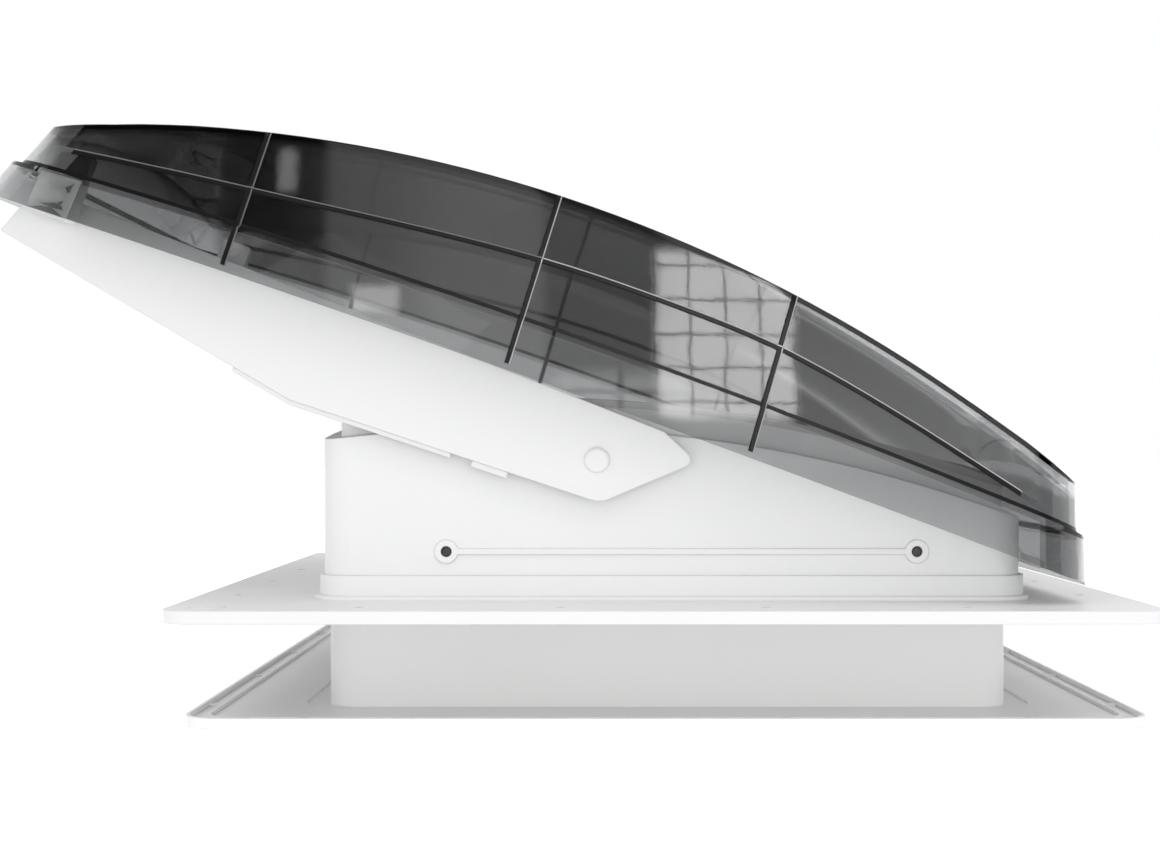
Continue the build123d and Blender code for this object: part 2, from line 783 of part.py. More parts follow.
def fan_blade():
    """One blade, pitched more at its root than at its tip."""
    middle = (hub_low + hub_high) / 2
    root = Plane.YZ * Rectangle(blade_root_chord, blade_thick)
    tip = Plane.YZ * Rectangle(blade_tip_chord, blade_thick)
    root = Pos(hub_radius - hub_wall, 0, middle) * (Rot(blade_root_pitch, 0, 0) * root)
    tip = Pos(blade_tip_reach, 0, middle) * (Rot(blade_tip_pitch, 0, 0) * tip)
    return loft([root, tip])


def fan_rotor():
    """Hub cup with its blades."""
    hub = post(hub_radius, hub_low, hub_high)
    cup = post(hub_radius - hub_wall, hub_low - overrun, hub_high - hub_wall)
    blade = fan_blade()
    blades = [Rot(0, 0, 360 * index / blade_count) * blade for index in range(blade_count)]
    body = hub
    for piece in blades:
        body = body + piece
    body = body - cup + post(hub_boss_radius, hub_low, hub_high)
    body = body - post(motor_shaft_radius, hub_low - overrun, hub_high + overrun)
    return Pos(fan_axis_x, 0, 0) * body


def rotor_nut():
    nut = Pos(fan_axis_x, 0, hub_high) * extrude(RegularPolygon(rotor_nut_radius, 6), rotor_nut_height)
    return nut - post(motor_shaft_radius, hub_high - overrun, hub_high + rotor_nut_height + overrun, fan_axis_x)


# Rain shield
wing_outer_y = wing_inner_y + wing_thick


def wing_spot(share, up):
    """Place of a wing's corner by the opened lid: a share of the lid's length and a height over its rim."""
    return turned(lid_spot(lid_length * share, up), hinge, lid_open_angle)


wing_front_low = wing_spot(*wing_front_low_spot)
wing_front_high = wing_spot(*wing_front_high_spot)
wing_knee = wing_spot(*wing_knee_spot)
wing_bend = wing_spot(*wing_bend_spot)
wing_back_high = (shield_pivot_x + wing_back_reach, shield_pivot_z + wing_back_rise)
wing_tip = (shield_pivot_x + wing_tip_reach, shield_pivot_z - wing_tip_drop)
wing_heel = (shield_pivot_x + wing_heel_reach, shield_pivot_z - wing_heel_drop)


def wing_outline():
    """Side shape of a wing: high front, long lower edge, rounded heel and pointed tip."""
    points = [wing_front_low, wing_front_high, wing_back_high, wing_tip, wing_heel, wing_bend, wing_knee]
    face = make_face(Polyline(*points, close=True))
    heel = [v for v in face.vertices() if abs(v.X - wing_heel[0]) < fit_gap]
    face = fillet(heel, wing_heel_round)
    tip = [v for v in face.vertices() if abs(v.X - wing_tip[0]) < fit_gap]
    face = fillet(tip, wing_corner_round)
    high = [v for v in face.vertices() if abs(v.X - wing_back_high[0]) < fit_gap]
    return fillet(high, wing_corner_round)


def between(first, second, share):
    """Point at a share of the way from one point to another."""
    return (first[0] + (second[0] - first[0]) * share, first[1] + (second[1] - first[1]) * share)


def near_wing():
    plate = side_plate(wing_outline(), -wing_outer_y, -wing_inner_y)
    lip_start = between(wing_knee, wing_front_low, wing_lip_start_share)
    lip_end = between(wing_bend, wing_heel, wing_lip_end_share)
    lip_points = [lip_start, wing_knee, wing_bend, lip_end]
    lowered = [(x, z - wing_lip_drop) for x, z in lip_points]
    lip = make_face(Polyline(*(lip_points + lowered[::-1]), close=True))
    lip = side_plate(lip, -wing_inner_y - wing_lip_thick, -wing_inner_y)
    tab_x, tab_z = between(wing_bend, wing_heel, wing_tab_share)
    edge_angle = math.degrees(math.atan2(wing_heel[1] - wing_bend[1], wing_heel[0] - wing_bend[0]))
    tab = Pos(tab_x, tab_z) * (Rot(0, 0, edge_angle) * Rectangle(wing_tab_length, wing_tab_height))
    tab = side_plate(tab, -wing_inner_y - wing_lip_thick, -wing_inner_y)
    body = plate + lip + tab
    body = body - cross_rod(shaft_radius, -wing_outer_y - overrun, -wing_inner_y + overrun, *shield_pivot)
    start, end = -wing_outer_y - overrun, -wing_inner_y + overrun
    return body - cross_rod(guide_pin_radius, start, end, *guide_pin_place)


def cross_bar():
    """Flat bar that joins the fronts of the wings, in line with their front edge."""
    low = between(wing_front_low, wing_front_high, 0)
    rise = (wing_front_high[0] - wing_front_low[0], wing_front_high[1] - wing_front_low[1])
    length = math.hypot(*rise)
    angle = math.degrees(math.atan2(rise[1], rise[0]))
    bar = Pos(length / 2, -cross_bar_edge) * Rectangle(cross_bar_height, cross_bar_thick)
    foot = Pos(length / 2 - cross_bar_height / 2 + cross_bar_thick / 2, -cross_bar_edge - cross_bar_foot / 2)
    foot = foot * Rectangle(cross_bar_thick, cross_bar_foot)
    face = Pos(*low) * (Rot(0, 0, angle) * (bar + foot))
    return side_plate(face, -wing_inner_y, wing_inner_y)


guide_pin_edge = between(wing_front_high, wing_back_high, guide_pin_share)
guide_pin_place = (guide_pin_edge[0], guide_pin_edge[1] - guide_pin_head_radius - guide_pin_edge_gap)


def guide_pin():
    """Pin that stands out from a wing into the lid's guide."""
    x, z = guide_pin_place
    pin = cross_rod(guide_pin_radius, -wing_outer_y - guide_pin_length, -wing_inner_y + guide_pin_head, x, z)
    head = cross_rod(guide_pin_head_radius, -wing_inner_y, -wing_inner_y + guide_pin_head, x, z)
    return pin + head


def guide_path():
    """Three places of the guide pin as the closed lid sees it, from open to closed."""
    places = []
    for share in guide_path_shares:
        spot = turned(guide_pin_place, shield_pivot, -shield_turn_angle * share)
        places.append(turned(spot, hinge, -lid_open_angle * (1 - share)))
    return places


def guide_block():
    """Block inside the lid's side wall with the slot for the guide pin."""
    start, middle, end = guide_path()
    centre_x = (start[0] + end[0]) / 2
    centre_z = (start[1] + end[1]) / 2
    outer = lid_width / 2 + overrun
    face = Pos(centre_x, centre_z) * RectangleRounded(guide_block_length, guide_block_height, guide_pin_radius)
    body = side_plate(face, -outer, -guide_block_start_y)
    slot = SlotArc(ThreePointArc(start, middle, end), 2 * (guide_pin_radius + guide_gap))
    body = body - side_plate(slot, -guide_block_start_y - guide_slot_depth, -guide_block_start_y + overrun)
    hollow = lid_inside()
    return body & hollow


def lift_shaft():
    return cross_rod(shaft_radius, -wing_outer_y, wing_outer_y, *shield_pivot)


def pivot_cap():
    """Domed cap over the shaft's end on the outside of a wing."""
    dome = cross_rod(pivot_cap_radius, -wing_outer_y - pivot_cap_height, -wing_outer_y, *shield_pivot)
    outer_edges = dome.edges().group_by(Axis.Y)[0]
    return fillet(outer_edges, pivot_cap_round)


def shaft_bush():
    """Flanged bush for the lift shaft in a wall of the housing."""
    wall_out = housing_side / 2
    wall_in = wall_out - housing_wall
    sleeve = cross_rod(shaft_radius + running_gap + shaft_bush_wall, -wall_out, -wall_in, *shield_pivot)
    flange_radius = shaft_radius + running_gap + shaft_bush_wall + shaft_bush_flange
    flange = cross_rod(flange_radius, -wall_out - shaft_bush_flange_thick, -wall_out, *shield_pivot)
    bore = cross_rod(shaft_radius + running_gap, -wall_out - overrun, -wall_in + overrun, *shield_pivot)
    return sleeve + flange - bore


# Lift gears
def gear_radius(teeth):
    return gear_module * teeth / 2


def tooth(teeth):
    """One involute tooth along X, from inside its root circle to its tip."""
    pitch = gear_radius(teeth)
    base = pitch * math.cos(math.radians(pressure_angle))
    tip = pitch + gear_module * addendum_share
    root = pitch - gear_module * dedendum_share
    pitch_roll = math.tan(math.radians(pressure_angle)) - math.radians(pressure_angle)
    half = math.pi / (2 * teeth) - gear_backlash / (2 * pitch) + pitch_roll
    start = max(base, root)
    flank = [(root - gear_module, half), (start, half)]
    for step in range(1, flank_steps + 1):
        radius = start + (tip - start) * step / flank_steps
        roll = math.acos(base / radius)
        flank.append((radius, half - math.tan(roll) + roll))
    upper = [(radius * math.cos(angle), radius * math.sin(angle)) for radius, angle in flank]
    lower = [(x, -y) for x, y in upper[::-1]]
    return make_face(Polyline(*(upper + lower), close=True))


def pinion_place():
    """Place of the pinion's axis, one centre distance from the lift shaft."""
    reach = gear_radius(sector_teeth) + gear_radius(pinion_teeth)
    angle = math.radians(pinion_line_angle)
    return (shield_pivot_x + reach * math.cos(angle), shield_pivot_z + reach * math.sin(angle))


def sector_gear():
    """Toothed sector on the lift shaft, with one tooth on the line to the pinion."""
    step = 360 / sector_teeth
    root = gear_radius(sector_teeth) - gear_module * dedendum_share
    low = step * sector_first_tooth - step / 2
    high = step * sector_last_tooth + step / 2
    turns = [math.radians(angle) for angle in (low, (low + high) / 2, high)]
    edge = [(root * math.cos(turn), root * math.sin(turn)) for turn in turns]
    arc = ThreePointArc(*edge)
    wedge = make_face(arc + Polyline(edge[2], (0, 0), edge[0]))
    face = wedge + Circle(sector_hub_radius)
    for index in range(sector_first_tooth, sector_last_tooth + 1):
        face = face + Rot(0, 0, step * index) * tooth(sector_teeth)
    window_radius = (root - sector_rim - sector_hub_radius) * sector_window_share
    window = Pos((root - sector_rim + sector_hub_radius) / 2, 0) * Circle(window_radius)
    face = face - Rot(0, 0, (low + high) / 2) * window
    face = face - Circle(shaft_radius)
    face = Pos(*shield_pivot) * (Rot(0, 0, pinion_line_angle) * face)
    return side_plate(face, gear_place_y, gear_place_y + gear_width)


def lift_pinion():
    """Pinion with a gap on the line to the lift shaft, on the gearcase's output shaft."""
    step = 360 / pinion_teeth
    face = Circle(gear_radius(pinion_teeth) - gear_module * dedendum_share)
    for index in range(pinion_teeth):
        face = face + Rot(0, 0, step * index + step / 2) * tooth(pinion_teeth)
    face = Pos(*pinion_place()) * (Rot(0, 0, pinion_line_angle + 180) * face)
    body = side_plate(face, gear_place_y, gear_place_y + gear_width)
    shaft_end = gear_place_y + gear_width + fit_gap * 2 + gearcase_depth / 2
    return body + cross_rod(pinion_shaft_radius, gear_place_y + gear_width / 2, shaft_end, *pinion_place())


def gearcase():
    """Case of the lift gear train, standing on the duct's lip."""
    x, z = pinion_place()
    start = gear_place_y + gear_width + fit_gap * 2
    high = z + gearcase_top_rise
    face = RectangleRounded(gearcase_width, high - duct_top_level, gearcase_corner)
    face = Pos(x, (duct_top_level + high) / 2) * face
    body = side_plate(face, start, start + gearcase_depth)
    bore_end = start + gearcase_depth / 2 + fit_gap
    return body - cross_rod(pinion_shaft_radius + running_gap, start - overrun, bore_end, x, z)


def lift_motor():
    x, z = pinion_place()
    start = gear_place_y + gear_width + fit_gap * 2 + gearcase_depth
    level = duct_top_level + fit_gap + lift_motor_radius
    body = cross_rod(lift_motor_radius, start, start + lift_motor_length, x, level)
    return body + cross_rod(pinion_shaft_radius, start + lift_motor_length - overrun,
                            start + lift_motor_length + overrun, x, level)


# Ceiling frame, screen and controls
frame_floor_top = frame_floor_level + frame_floor


def latch_places():
    y = screen_depth / 2 + latch_gap_y
    return [(screen_centre_x + sx * latch_place_x, sy * y) for sx in (-1, 1) for sy in (-1, 1)]


def button_places():
    first = -button_pitch * (button_count - 1) / 2
    return [first + button_pitch * index for index in range(button_count)]


def board_corner_places():
    half_x = panel_width / 2 - board_margin
    half_y = panel_length / 2 - board_margin * 2
    return [(panel_centre_x + sx * half_x, sy * half_y) for sx in (-1, 1) for sy in (-1, 1)]


board_level = frame_floor_top + button_rise
board_post_height = board_level - frame_floor_top


def ceiling_frame():
    """Deep square frame under the duct, whose floor carries the screen and the controls."""
    walls = ring(frame_side, frame_side, frame_corner, frame_wall, frame_floor_level, duct_plate_level,
                 housing_centre_x)
    floor = block(frame_side, frame_side, frame_corner, frame_floor_level, frame_floor_top, housing_centre_x)
    gap = 2 * frame_opening_margin
    opening = block(screen_length - gap, screen_depth - gap, screen_corner - frame_opening_margin,
                    frame_floor_level - overrun, frame_floor_top + overrun, screen_centre_x)
    body = walls + (floor - opening)
    low, high = frame_floor_level - overrun, frame_floor_top + overrun
    for y in button_places():
        body = body - post(button_radius + button_flange + button_gap, low, high, panel_centre_x, y)
    body = body - post(lens_radius + fit_gap, low, high, panel_centre_x, lens_place_y)
    for x, y in board_corner_places():
        body = body + post(board_post_radius, frame_floor_level, board_level, x, y)
    for x, y in latch_places():
        body = body - post(latch_pin_radius + running_gap, low, high, x, y)
    return body


def screen_frame():
    low = frame_floor_level - screen_height
    body = block(screen_length, screen_depth, screen_corner, low, frame_floor_level, screen_centre_x)
    inner_length = screen_length - 2 * screen_border
    inner_depth = screen_depth - 2 * screen_border
    hole = block(inner_length, inner_depth, screen_corner / 2, low - overrun, frame_floor_level + overrun,
                 screen_centre_x)
    pocket = block(inner_length + 2 * screen_pocket, inner_depth + 2 * screen_pocket, screen_corner / 2,
                   low + screen_ledge, frame_floor_level + overrun, screen_centre_x)
    return body - hole - pocket


def screen_mesh():
    low = frame_floor_level - screen_height + screen_ledge
    length = screen_length - 2 * screen_border + 2 * screen_pocket - 2 * fit_gap
    depth = screen_depth - 2 * screen_border + 2 * screen_pocket - 2 * fit_gap
    return block(length, depth, screen_corner / 2, low, low + mesh_thick, screen_centre_x)


def screen_latch(x, y):
    """Quarter-turn latch whose nose lies under the edge of the screen."""
    high = frame_floor_level - screen_height - fit_gap
    low = high - latch_thick
    towards = -1 if y > 0 else 1
    shift = latch_length / 2 - latch_width / 2
    bar = extrude(SlotOverall(latch_length, latch_width, rotation=90), latch_thick)
    bar = Pos(x, y + towards * shift, low) * bar
    hub = post(latch_width / 2, low, frame_floor_level - fit_gap, x, y)
    pin = post(latch_pin_radius, low, frame_floor_top + fit_gap + latch_head, x, y)
    head = post(latch_head_radius, frame_floor_top + fit_gap, frame_floor_top + fit_gap + latch_head, x, y)
    return bar + hub + pin + head


def control_panel():
    """Face plate for the buttons, under the frame's floor."""
    low = frame_floor_level - panel_thick
    plate = extrude(RectangleRounded(panel_width, panel_length, panel_corner), panel_thick)
    body = Pos(panel_centre_x, 0, low) * plate
    high = frame_floor_level + overrun
    for y in button_places():
        body = body - post(button_radius + button_gap, low - overrun, high, panel_centre_x, y)
    return body - post(lens_radius, low - overrun, high, panel_centre_x, lens_place_y)


def panel_button(y):
    """Push button with a flange that holds it behind the face plate."""
    low = frame_floor_level - panel_thick - button_rise
    flange_low = frame_floor_level + fit_gap
    stem = post(button_radius, low, flange_low + button_flange_thick, panel_centre_x, y)
    stem = fillet(stem.edges().group_by(Axis.Z)[0], button_round)
    flange_radius = button_radius + button_flange
    return stem + post(flange_radius, flange_low, flange_low + button_flange_thick, panel_centre_x, y)


def control_board():
    """Circuit board on the frame's posts, with a switch over each button."""
    width = panel_width - board_margin
    length = panel_length - board_margin
    body = Pos(panel_centre_x, 0, board_level + board_thick / 2) * Box(width, length, board_thick)
    switch_low = frame_floor_level + fit_gap + button_flange_thick + button_travel + fit_gap
    height = board_level - switch_low
    for y in button_places():
        switch = Box(switch_side, switch_side, height)
        body = body + Pos(panel_centre_x, y, switch_low + height / 2) * switch
    return body


def receiver_lens():
    low = frame_floor_level - panel_thick
    body = post(lens_radius, low - button_round, frame_floor_level, panel_centre_x, lens_place_y)
    body = body + post(lens_radius, frame_floor_level - overrun, board_level, panel_centre_x, lens_place_y)
    return fillet(body.edges().group_by(Axis.Z)[0], button_round / 2)


def build_parts():
    """All pieces, by the name of the file that each is written to."""
    near_track = guide_block()
    pieces = {
        "lid_shell": lid_shell(),
        "near_guide_block": opened(near_track),
        "far_guide_block": opened(mirror(near_track, about=Plane.XZ)),
        "fan_housing": fan_housing(),
        "coaming_seal": coaming_seal(),
        "body_gasket": body_gasket(),
        "roof_flange": roof_flange(),
        "roof_seal": roof_seal(),
        "ceiling_garnish": ceiling_garnish(),
        "garnish_screws": Compound(children=garnish_screws()),
        "fan_duct": fan_duct(),
        "duct_screws": Compound(children=duct_screws()),
        "motor_bracket": motor_bracket(),
        "bracket_screws": Compound(children=bracket_screws()),
        "motor_can": motor_can(),
        "motor_end_cap": motor_end_cap(),
        "motor_shaft": motor_shaft(),
        "fan_rotor": fan_rotor(),
        "rotor_nut": rotor_nut(),
        "cross_bar": cross_bar(),
        "lift_shaft": lift_shaft(),
        "sector_gear": sector_gear(),
        "lift_pinion": lift_pinion(),
        "lift_gearcase": gearcase(),
        "lift_motor": lift_motor(),
        "ceiling_frame": ceiling_frame(),
        "screen_frame": screen_frame(),
        "screen_mesh": screen_mesh(),
        "control_panel": control_panel(),
        "control_board": control_board(),
        "receiver_lens": receiver_lens(),
    }
    for side, strap, bracket, pin in zip(("far", "near"), both_sides(hinge_strap()), both_sides(hinge_bracket()),
                                         both_sides(hinge_pin())):
        pieces[side + "_hinge_strap"] = strap
        pieces[side + "_hinge_bracket"] = bracket
        pieces[side + "_hinge_pin"] = pin
    for side, wing, cap, pin, bush in zip(("near", "far"), both_sides(near_wing()), both_sides(pivot_cap()),
                                          both_sides(guide_pin()), both_sides(shaft_bush())):
        pieces[side + "_wing"] = wing
        pieces[side + "_pivot_cap"] = cap
        pieces[side + "_guide_pin"] = pin
        pieces[side + "_shaft_bush"] = bush
    for number, (x, y) in enumerate(latch_places(), 1):
        pieces["screen_latch_" + str(number)] = screen_latch(x, y)
    for number, y in enumerate(button_places(), 1):
        pieces["panel_button_" + str(number)] = panel_button(y)
    return pieces


os.makedirs("parts", exist_ok=True)
for name, piece in build_parts().items():
    export_step(piece, "parts/" + name + ".step")
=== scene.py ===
"""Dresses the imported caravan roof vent: smoked lid, white housing and flange, fan, drive and room side."""

import logging
import math
from contextlib import contextmanager
from dataclasses import dataclass, field
from enum import Enum, IntEnum
from typing import Callable, ClassVar, Dict, Iterator, List, Optional, Sequence, Tuple, Union

import bmesh
import bpy
from mathutils import Euler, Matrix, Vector


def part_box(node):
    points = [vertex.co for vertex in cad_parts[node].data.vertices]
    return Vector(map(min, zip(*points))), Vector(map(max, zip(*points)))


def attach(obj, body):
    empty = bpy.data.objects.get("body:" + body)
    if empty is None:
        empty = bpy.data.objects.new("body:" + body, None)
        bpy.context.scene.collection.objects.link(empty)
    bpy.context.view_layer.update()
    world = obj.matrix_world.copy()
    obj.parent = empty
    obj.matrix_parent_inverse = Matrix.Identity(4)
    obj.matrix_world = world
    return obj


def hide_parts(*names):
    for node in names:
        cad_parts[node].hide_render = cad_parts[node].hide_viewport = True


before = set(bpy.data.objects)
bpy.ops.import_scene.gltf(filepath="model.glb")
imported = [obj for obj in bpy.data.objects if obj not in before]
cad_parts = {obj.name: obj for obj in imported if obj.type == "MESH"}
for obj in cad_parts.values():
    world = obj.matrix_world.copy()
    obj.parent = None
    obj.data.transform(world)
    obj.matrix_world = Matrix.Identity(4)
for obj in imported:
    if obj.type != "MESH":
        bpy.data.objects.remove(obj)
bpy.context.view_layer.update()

Vec3 = Tuple[float, float, float]
Colour = Tuple[float, float, float]
Stops = Tuple[Tuple[float, float], ...]
Socket = bpy.types.NodeSocket
Source = Union[float, Sequence[float], Socket]

WHITE: Colour = (1.0, 1.0, 1.0)
# Places nearer than this, in metres, count as one.
TOUCH = 1e-5
# A face whose unit normal reaches this high counts as looking up.
LOOKS_UP = 0.8

logging.basicConfig(level=logging.INFO, format="%(message)s")
LOG = logging.getLogger("roof_vent")


class Side(Enum):
    """The two long sides of the vent."""

    NEAR = -1
    FAR = 1


class Grain(Enum):
    """How coarse a moulded surface is, as a noise scale per metre."""

    POLISHED = 90.0
    SATIN = 900.0
    TEXTURED = 1900.0


class Level(IntEnum):
    """Rows of the lid's face, from the rim up."""

    RIM = 0
    LINE_FOOT = 1
    LINE_START = 2
    STEP_OUT = 3
    STEP_IN = 4
    STEP_BAND = 5
    LINE_LOW = 6
    LINE_LOW_TOP = 7
    LINE_HIGH_TOP = 8
    LINE_HIGH = 9
    MIDDLE = 10
    EDGE = 11
    TOP = 12


class Tree:
    """A node tree with short ways to add nodes and to feed their sockets."""

    def __init__(self, tree: bpy.types.NodeTree) -> None:
        """Keeps the tree's nodes and links at hand."""
        self.nodes, self.links = tree.nodes, tree.links

    def feed(self, socket: Socket, source: Source) -> None:
        """Sets an input, or links it where the source is another node's output.

        Args:
            socket: the input.
            source: a number, a colour, a vector or an output.
        """
        if isinstance(source, bpy.types.NodeSocket):
            self.links.new(source, socket)
        else:
            socket.default_value = (*source, 1.0) if socket.type == "RGBA" else source

    def add(self, kind: str, sockets: Optional[Dict[Union[str, int], Source]] = None,
            **settings: object) -> bpy.types.Node:
        """Adds a node.

        Args:
            kind: the node's type, without its prefix.
            sockets: what feeds its inputs, by their name or number.
            settings: its other properties.

        Returns:
            The new node.
        """
        node = self.nodes.new("ShaderNode" + kind)
        for label, value in settings.items():
            setattr(node, label, value)
        for key, source in (sockets or {}).items():
            self.feed(node.inputs[key], source)
        return node

    def calculate(self, operation: str, first: Source, second: Source = 0.0) -> Socket:
        """Adds a math node and gives its result."""
        return self.add("Math", {0: first, 1: second}, operation=operation).outputs["Value"]

    def span(self, value: Socket, start: Tuple[float, float] = (0.0, 1.0),
             end: Tuple[float, float] = (0.0, 1.0)) -> Socket:
        """Maps a number from one range to another, and keeps it inside.

        Args:
            value: the number.
            start: the range that it comes from.
            end: the range that it goes to.

        Returns:
            The new number.
        """
        node = self.add("MapRange", {"Value": value, "From Min": start[0], "From Max": start[1],
                                     "To Min": end[0], "To Max": end[1]})
        return node.outputs["Result"]

    def mix(self, factor: Socket, first: Source, second: Source) -> Socket:
        """Adds a colour mix. Its sockets share their names with those for numbers and vectors.

        Args:
            factor: the share of the second colour.
            first: the colour at factor 0.
            second: the colour at factor 1.

        Returns:
            The mixed colour.
        """
        node = self.add("Mix", data_type="RGBA")
        for label, kind, source in (("Factor", "VALUE", factor), ("A", "RGBA", first), ("B", "RGBA", second)):
            self.feed(next(s for s in node.inputs if (s.name, s.type) == (label, kind)), source)
        return next(s for s in node.outputs if s.type == "RGBA")

    def effect(self, group: bpy.types.NodeTree, sockets: Dict[str, Source]) -> bpy.types.Node:
        """Places a shared effect with its own values."""
        return self.add("Group", sockets, node_tree=group)


class Paint(Tree):
    """A new material's node tree, with its main shader and its output at hand."""

    def __init__(self, name: str) -> None:
        """Starts the material.

        Args:
            name: the material's name.
        """
        self.material = bpy.data.materials.new(name)
        self.material.use_nodes = True
        super().__init__(self.material.node_tree)
        self.shader, self.output = self.nodes["Principled BSDF"], self.nodes["Material Output"]

    def place(self) -> Socket:
        """Gives the Object coordinates."""
        return self.add("TexCoord").outputs["Object"]

    def bump(self, strength: float, distance: float, height: Socket) -> bpy.types.Node:
        """Adds a bump node."""
        return self.add("Bump", {"Strength": strength, "Distance": distance, "Height": height})

    def shade(self, sockets: Dict[str, Source]) -> bpy.types.Material:
        """Feeds the main shader.

        Args:
            sockets: what feeds its inputs, by name.

        Returns:
            The material.
        """
        for label, source in sockets.items():
            self.feed(self.shader.inputs[label], source)
        return self.material

    def surface(self, shader: Socket) -> bpy.types.Material:
        """Gives the material another surface than the main shader's.

        Args:
            shader: the output of the last shader.

        Returns:
            The material.
        """
        self.feed(self.output.inputs["Surface"], shader)
        return self.material


class Effects:
    """Node groups that several finishes share. Each is built once."""

    fine_detail: ClassVar[float] = 2.0
    slow_detail: ClassVar[float] = 4.0
    slow_scale: ClassVar[float] = 14.0
    dust_detail: ClassVar[float] = 5.0
    dust_scale: ClassVar[float] = 30.0
    dust_amount: ClassVar[float] = 0.5
    dust_slope: ClassVar[Tuple[float, float]] = (0.45, 1.0)

    def __init__(self) -> None:
        """Starts with no group built."""
        self.groups: Dict[str, bpy.types.NodeTree] = {}

    def start(self, name: str, inputs: Dict[str, float],
              outputs: Sequence[str]) -> Tuple[Tree, bpy.types.NodeOutputs, bpy.types.NodeInputs]:
        """Starts a group that also takes a place.

        Args:
            name: the group's name.
            inputs: default value of each number input.
            outputs: names of the number outputs.

        Returns:
            The group's tree, what is given to it and where its results go.
        """
        group = bpy.data.node_groups.new(name, "ShaderNodeTree")
        sockets = group.interface
        sockets.new_socket("Vector", in_out="INPUT", socket_type="NodeSocketVector")
        for label, value in inputs.items():
            sockets.new_socket(label, in_out="INPUT", socket_type="NodeSocketFloat").default_value = value
        for label in outputs:
            sockets.new_socket(label, in_out="OUTPUT", socket_type="NodeSocketFloat")
        self.groups[name] = group
        given, results = group.nodes.new("NodeGroupInput"), group.nodes.new("NodeGroupOutput")
        return Tree(group), given.outputs, results.inputs

    def grain(self) -> bpy.types.NodeTree:
        """Moulding grain: a fine height and a slow mottle.

        Returns:
            A group with outputs Height and Mottle.
        """
        name = "moulding_grain"
        if name not in self.groups:
            scales = {"Scale": Grain.SATIN.value, "Slow Scale": self.slow_scale}
            tree, given, results = self.start(name, scales, ("Height", "Mottle"))
            for scale, result, detail in (("Scale", "Height", self.fine_detail),
                                          ("Slow Scale", "Mottle", self.slow_detail)):
                noise = tree.add("TexNoise", {"Vector": given["Vector"], "Scale": given[scale],
                                              "Detail": detail})
                tree.feed(results[result], noise.outputs["Fac"])
        return self.groups[name]

    def dust(self) -> bpy.types.NodeTree:
        """Dust on faces that look up: a mask from the normal and a patchy noise.

        Returns:
            A group with the output Mask.
        """
        name = "settled_dust"
        if name not in self.groups:
            values = {"Scale": self.dust_scale, "Amount": self.dust_amount}
            tree, given, results = self.start(name, values, ("Mask",))
            facing = tree.add("SeparateXYZ", {"Vector": tree.add("NewGeometry").outputs["Normal"]})
            upward = tree.span(facing.outputs["Z"], self.dust_slope)
            noise = tree.add("TexNoise", {"Vector": given["Vector"], "Scale": given["Scale"],
                                          "Detail": self.dust_detail})
            patch = tree.calculate("MULTIPLY", noise.outputs["Fac"], upward)
            tree.feed(results["Mask"], tree.calculate("MULTIPLY", patch, given["Amount"]))
        return self.groups[name]


EFFECTS = Effects()


@dataclass(frozen=True)
class Moulded:
    """Moulded plastic, rubber or paint with a grain, a slow mottle and some dust."""

    name: str
    colour: Colour
    second: Colour
    dusty: Colour = (0.62, 0.6, 0.56)
    roughness: Tuple[float, float] = (0.32, 0.46)
    grain: Grain = Grain.SATIN
    bump: float = 0.05
    grain_depth: float = 0.0004
    dust: float = 0.12
    coat: float = 0.0
    round_edge: float = 0.0
    edge_samples: int = 4
    specular: float = 0.5

    def make(self) -> bpy.types.Material:
        """Builds the material.

        Returns:
            The new material.
        """
        paint = Paint(self.name)
        place = paint.place()
        grain = paint.effect(EFFECTS.grain(), {"Vector": place, "Scale": self.grain.value})
        dust = paint.effect(EFFECTS.dust(), {"Vector": place, "Amount": self.dust})
        mottle = grain.outputs["Mottle"]
        bump = paint.bump(self.bump, self.grain_depth, grain.outputs["Height"])
        if self.round_edge:
            edge = paint.add("Bevel", {"Radius": self.round_edge}, samples=self.edge_samples)
            paint.feed(bump.inputs["Normal"], edge.outputs["Normal"])
        tint = paint.mix(mottle, self.colour, self.second)
        return paint.shade({
            "Base Color": paint.mix(dust.outputs["Mask"], tint, self.dusty),
            "Roughness": paint.span(mottle, end=self.roughness),
            "Normal": bump.outputs["Normal"],
            "Specular IOR Level": self.specular,
            "Coat Weight": self.coat,
        })


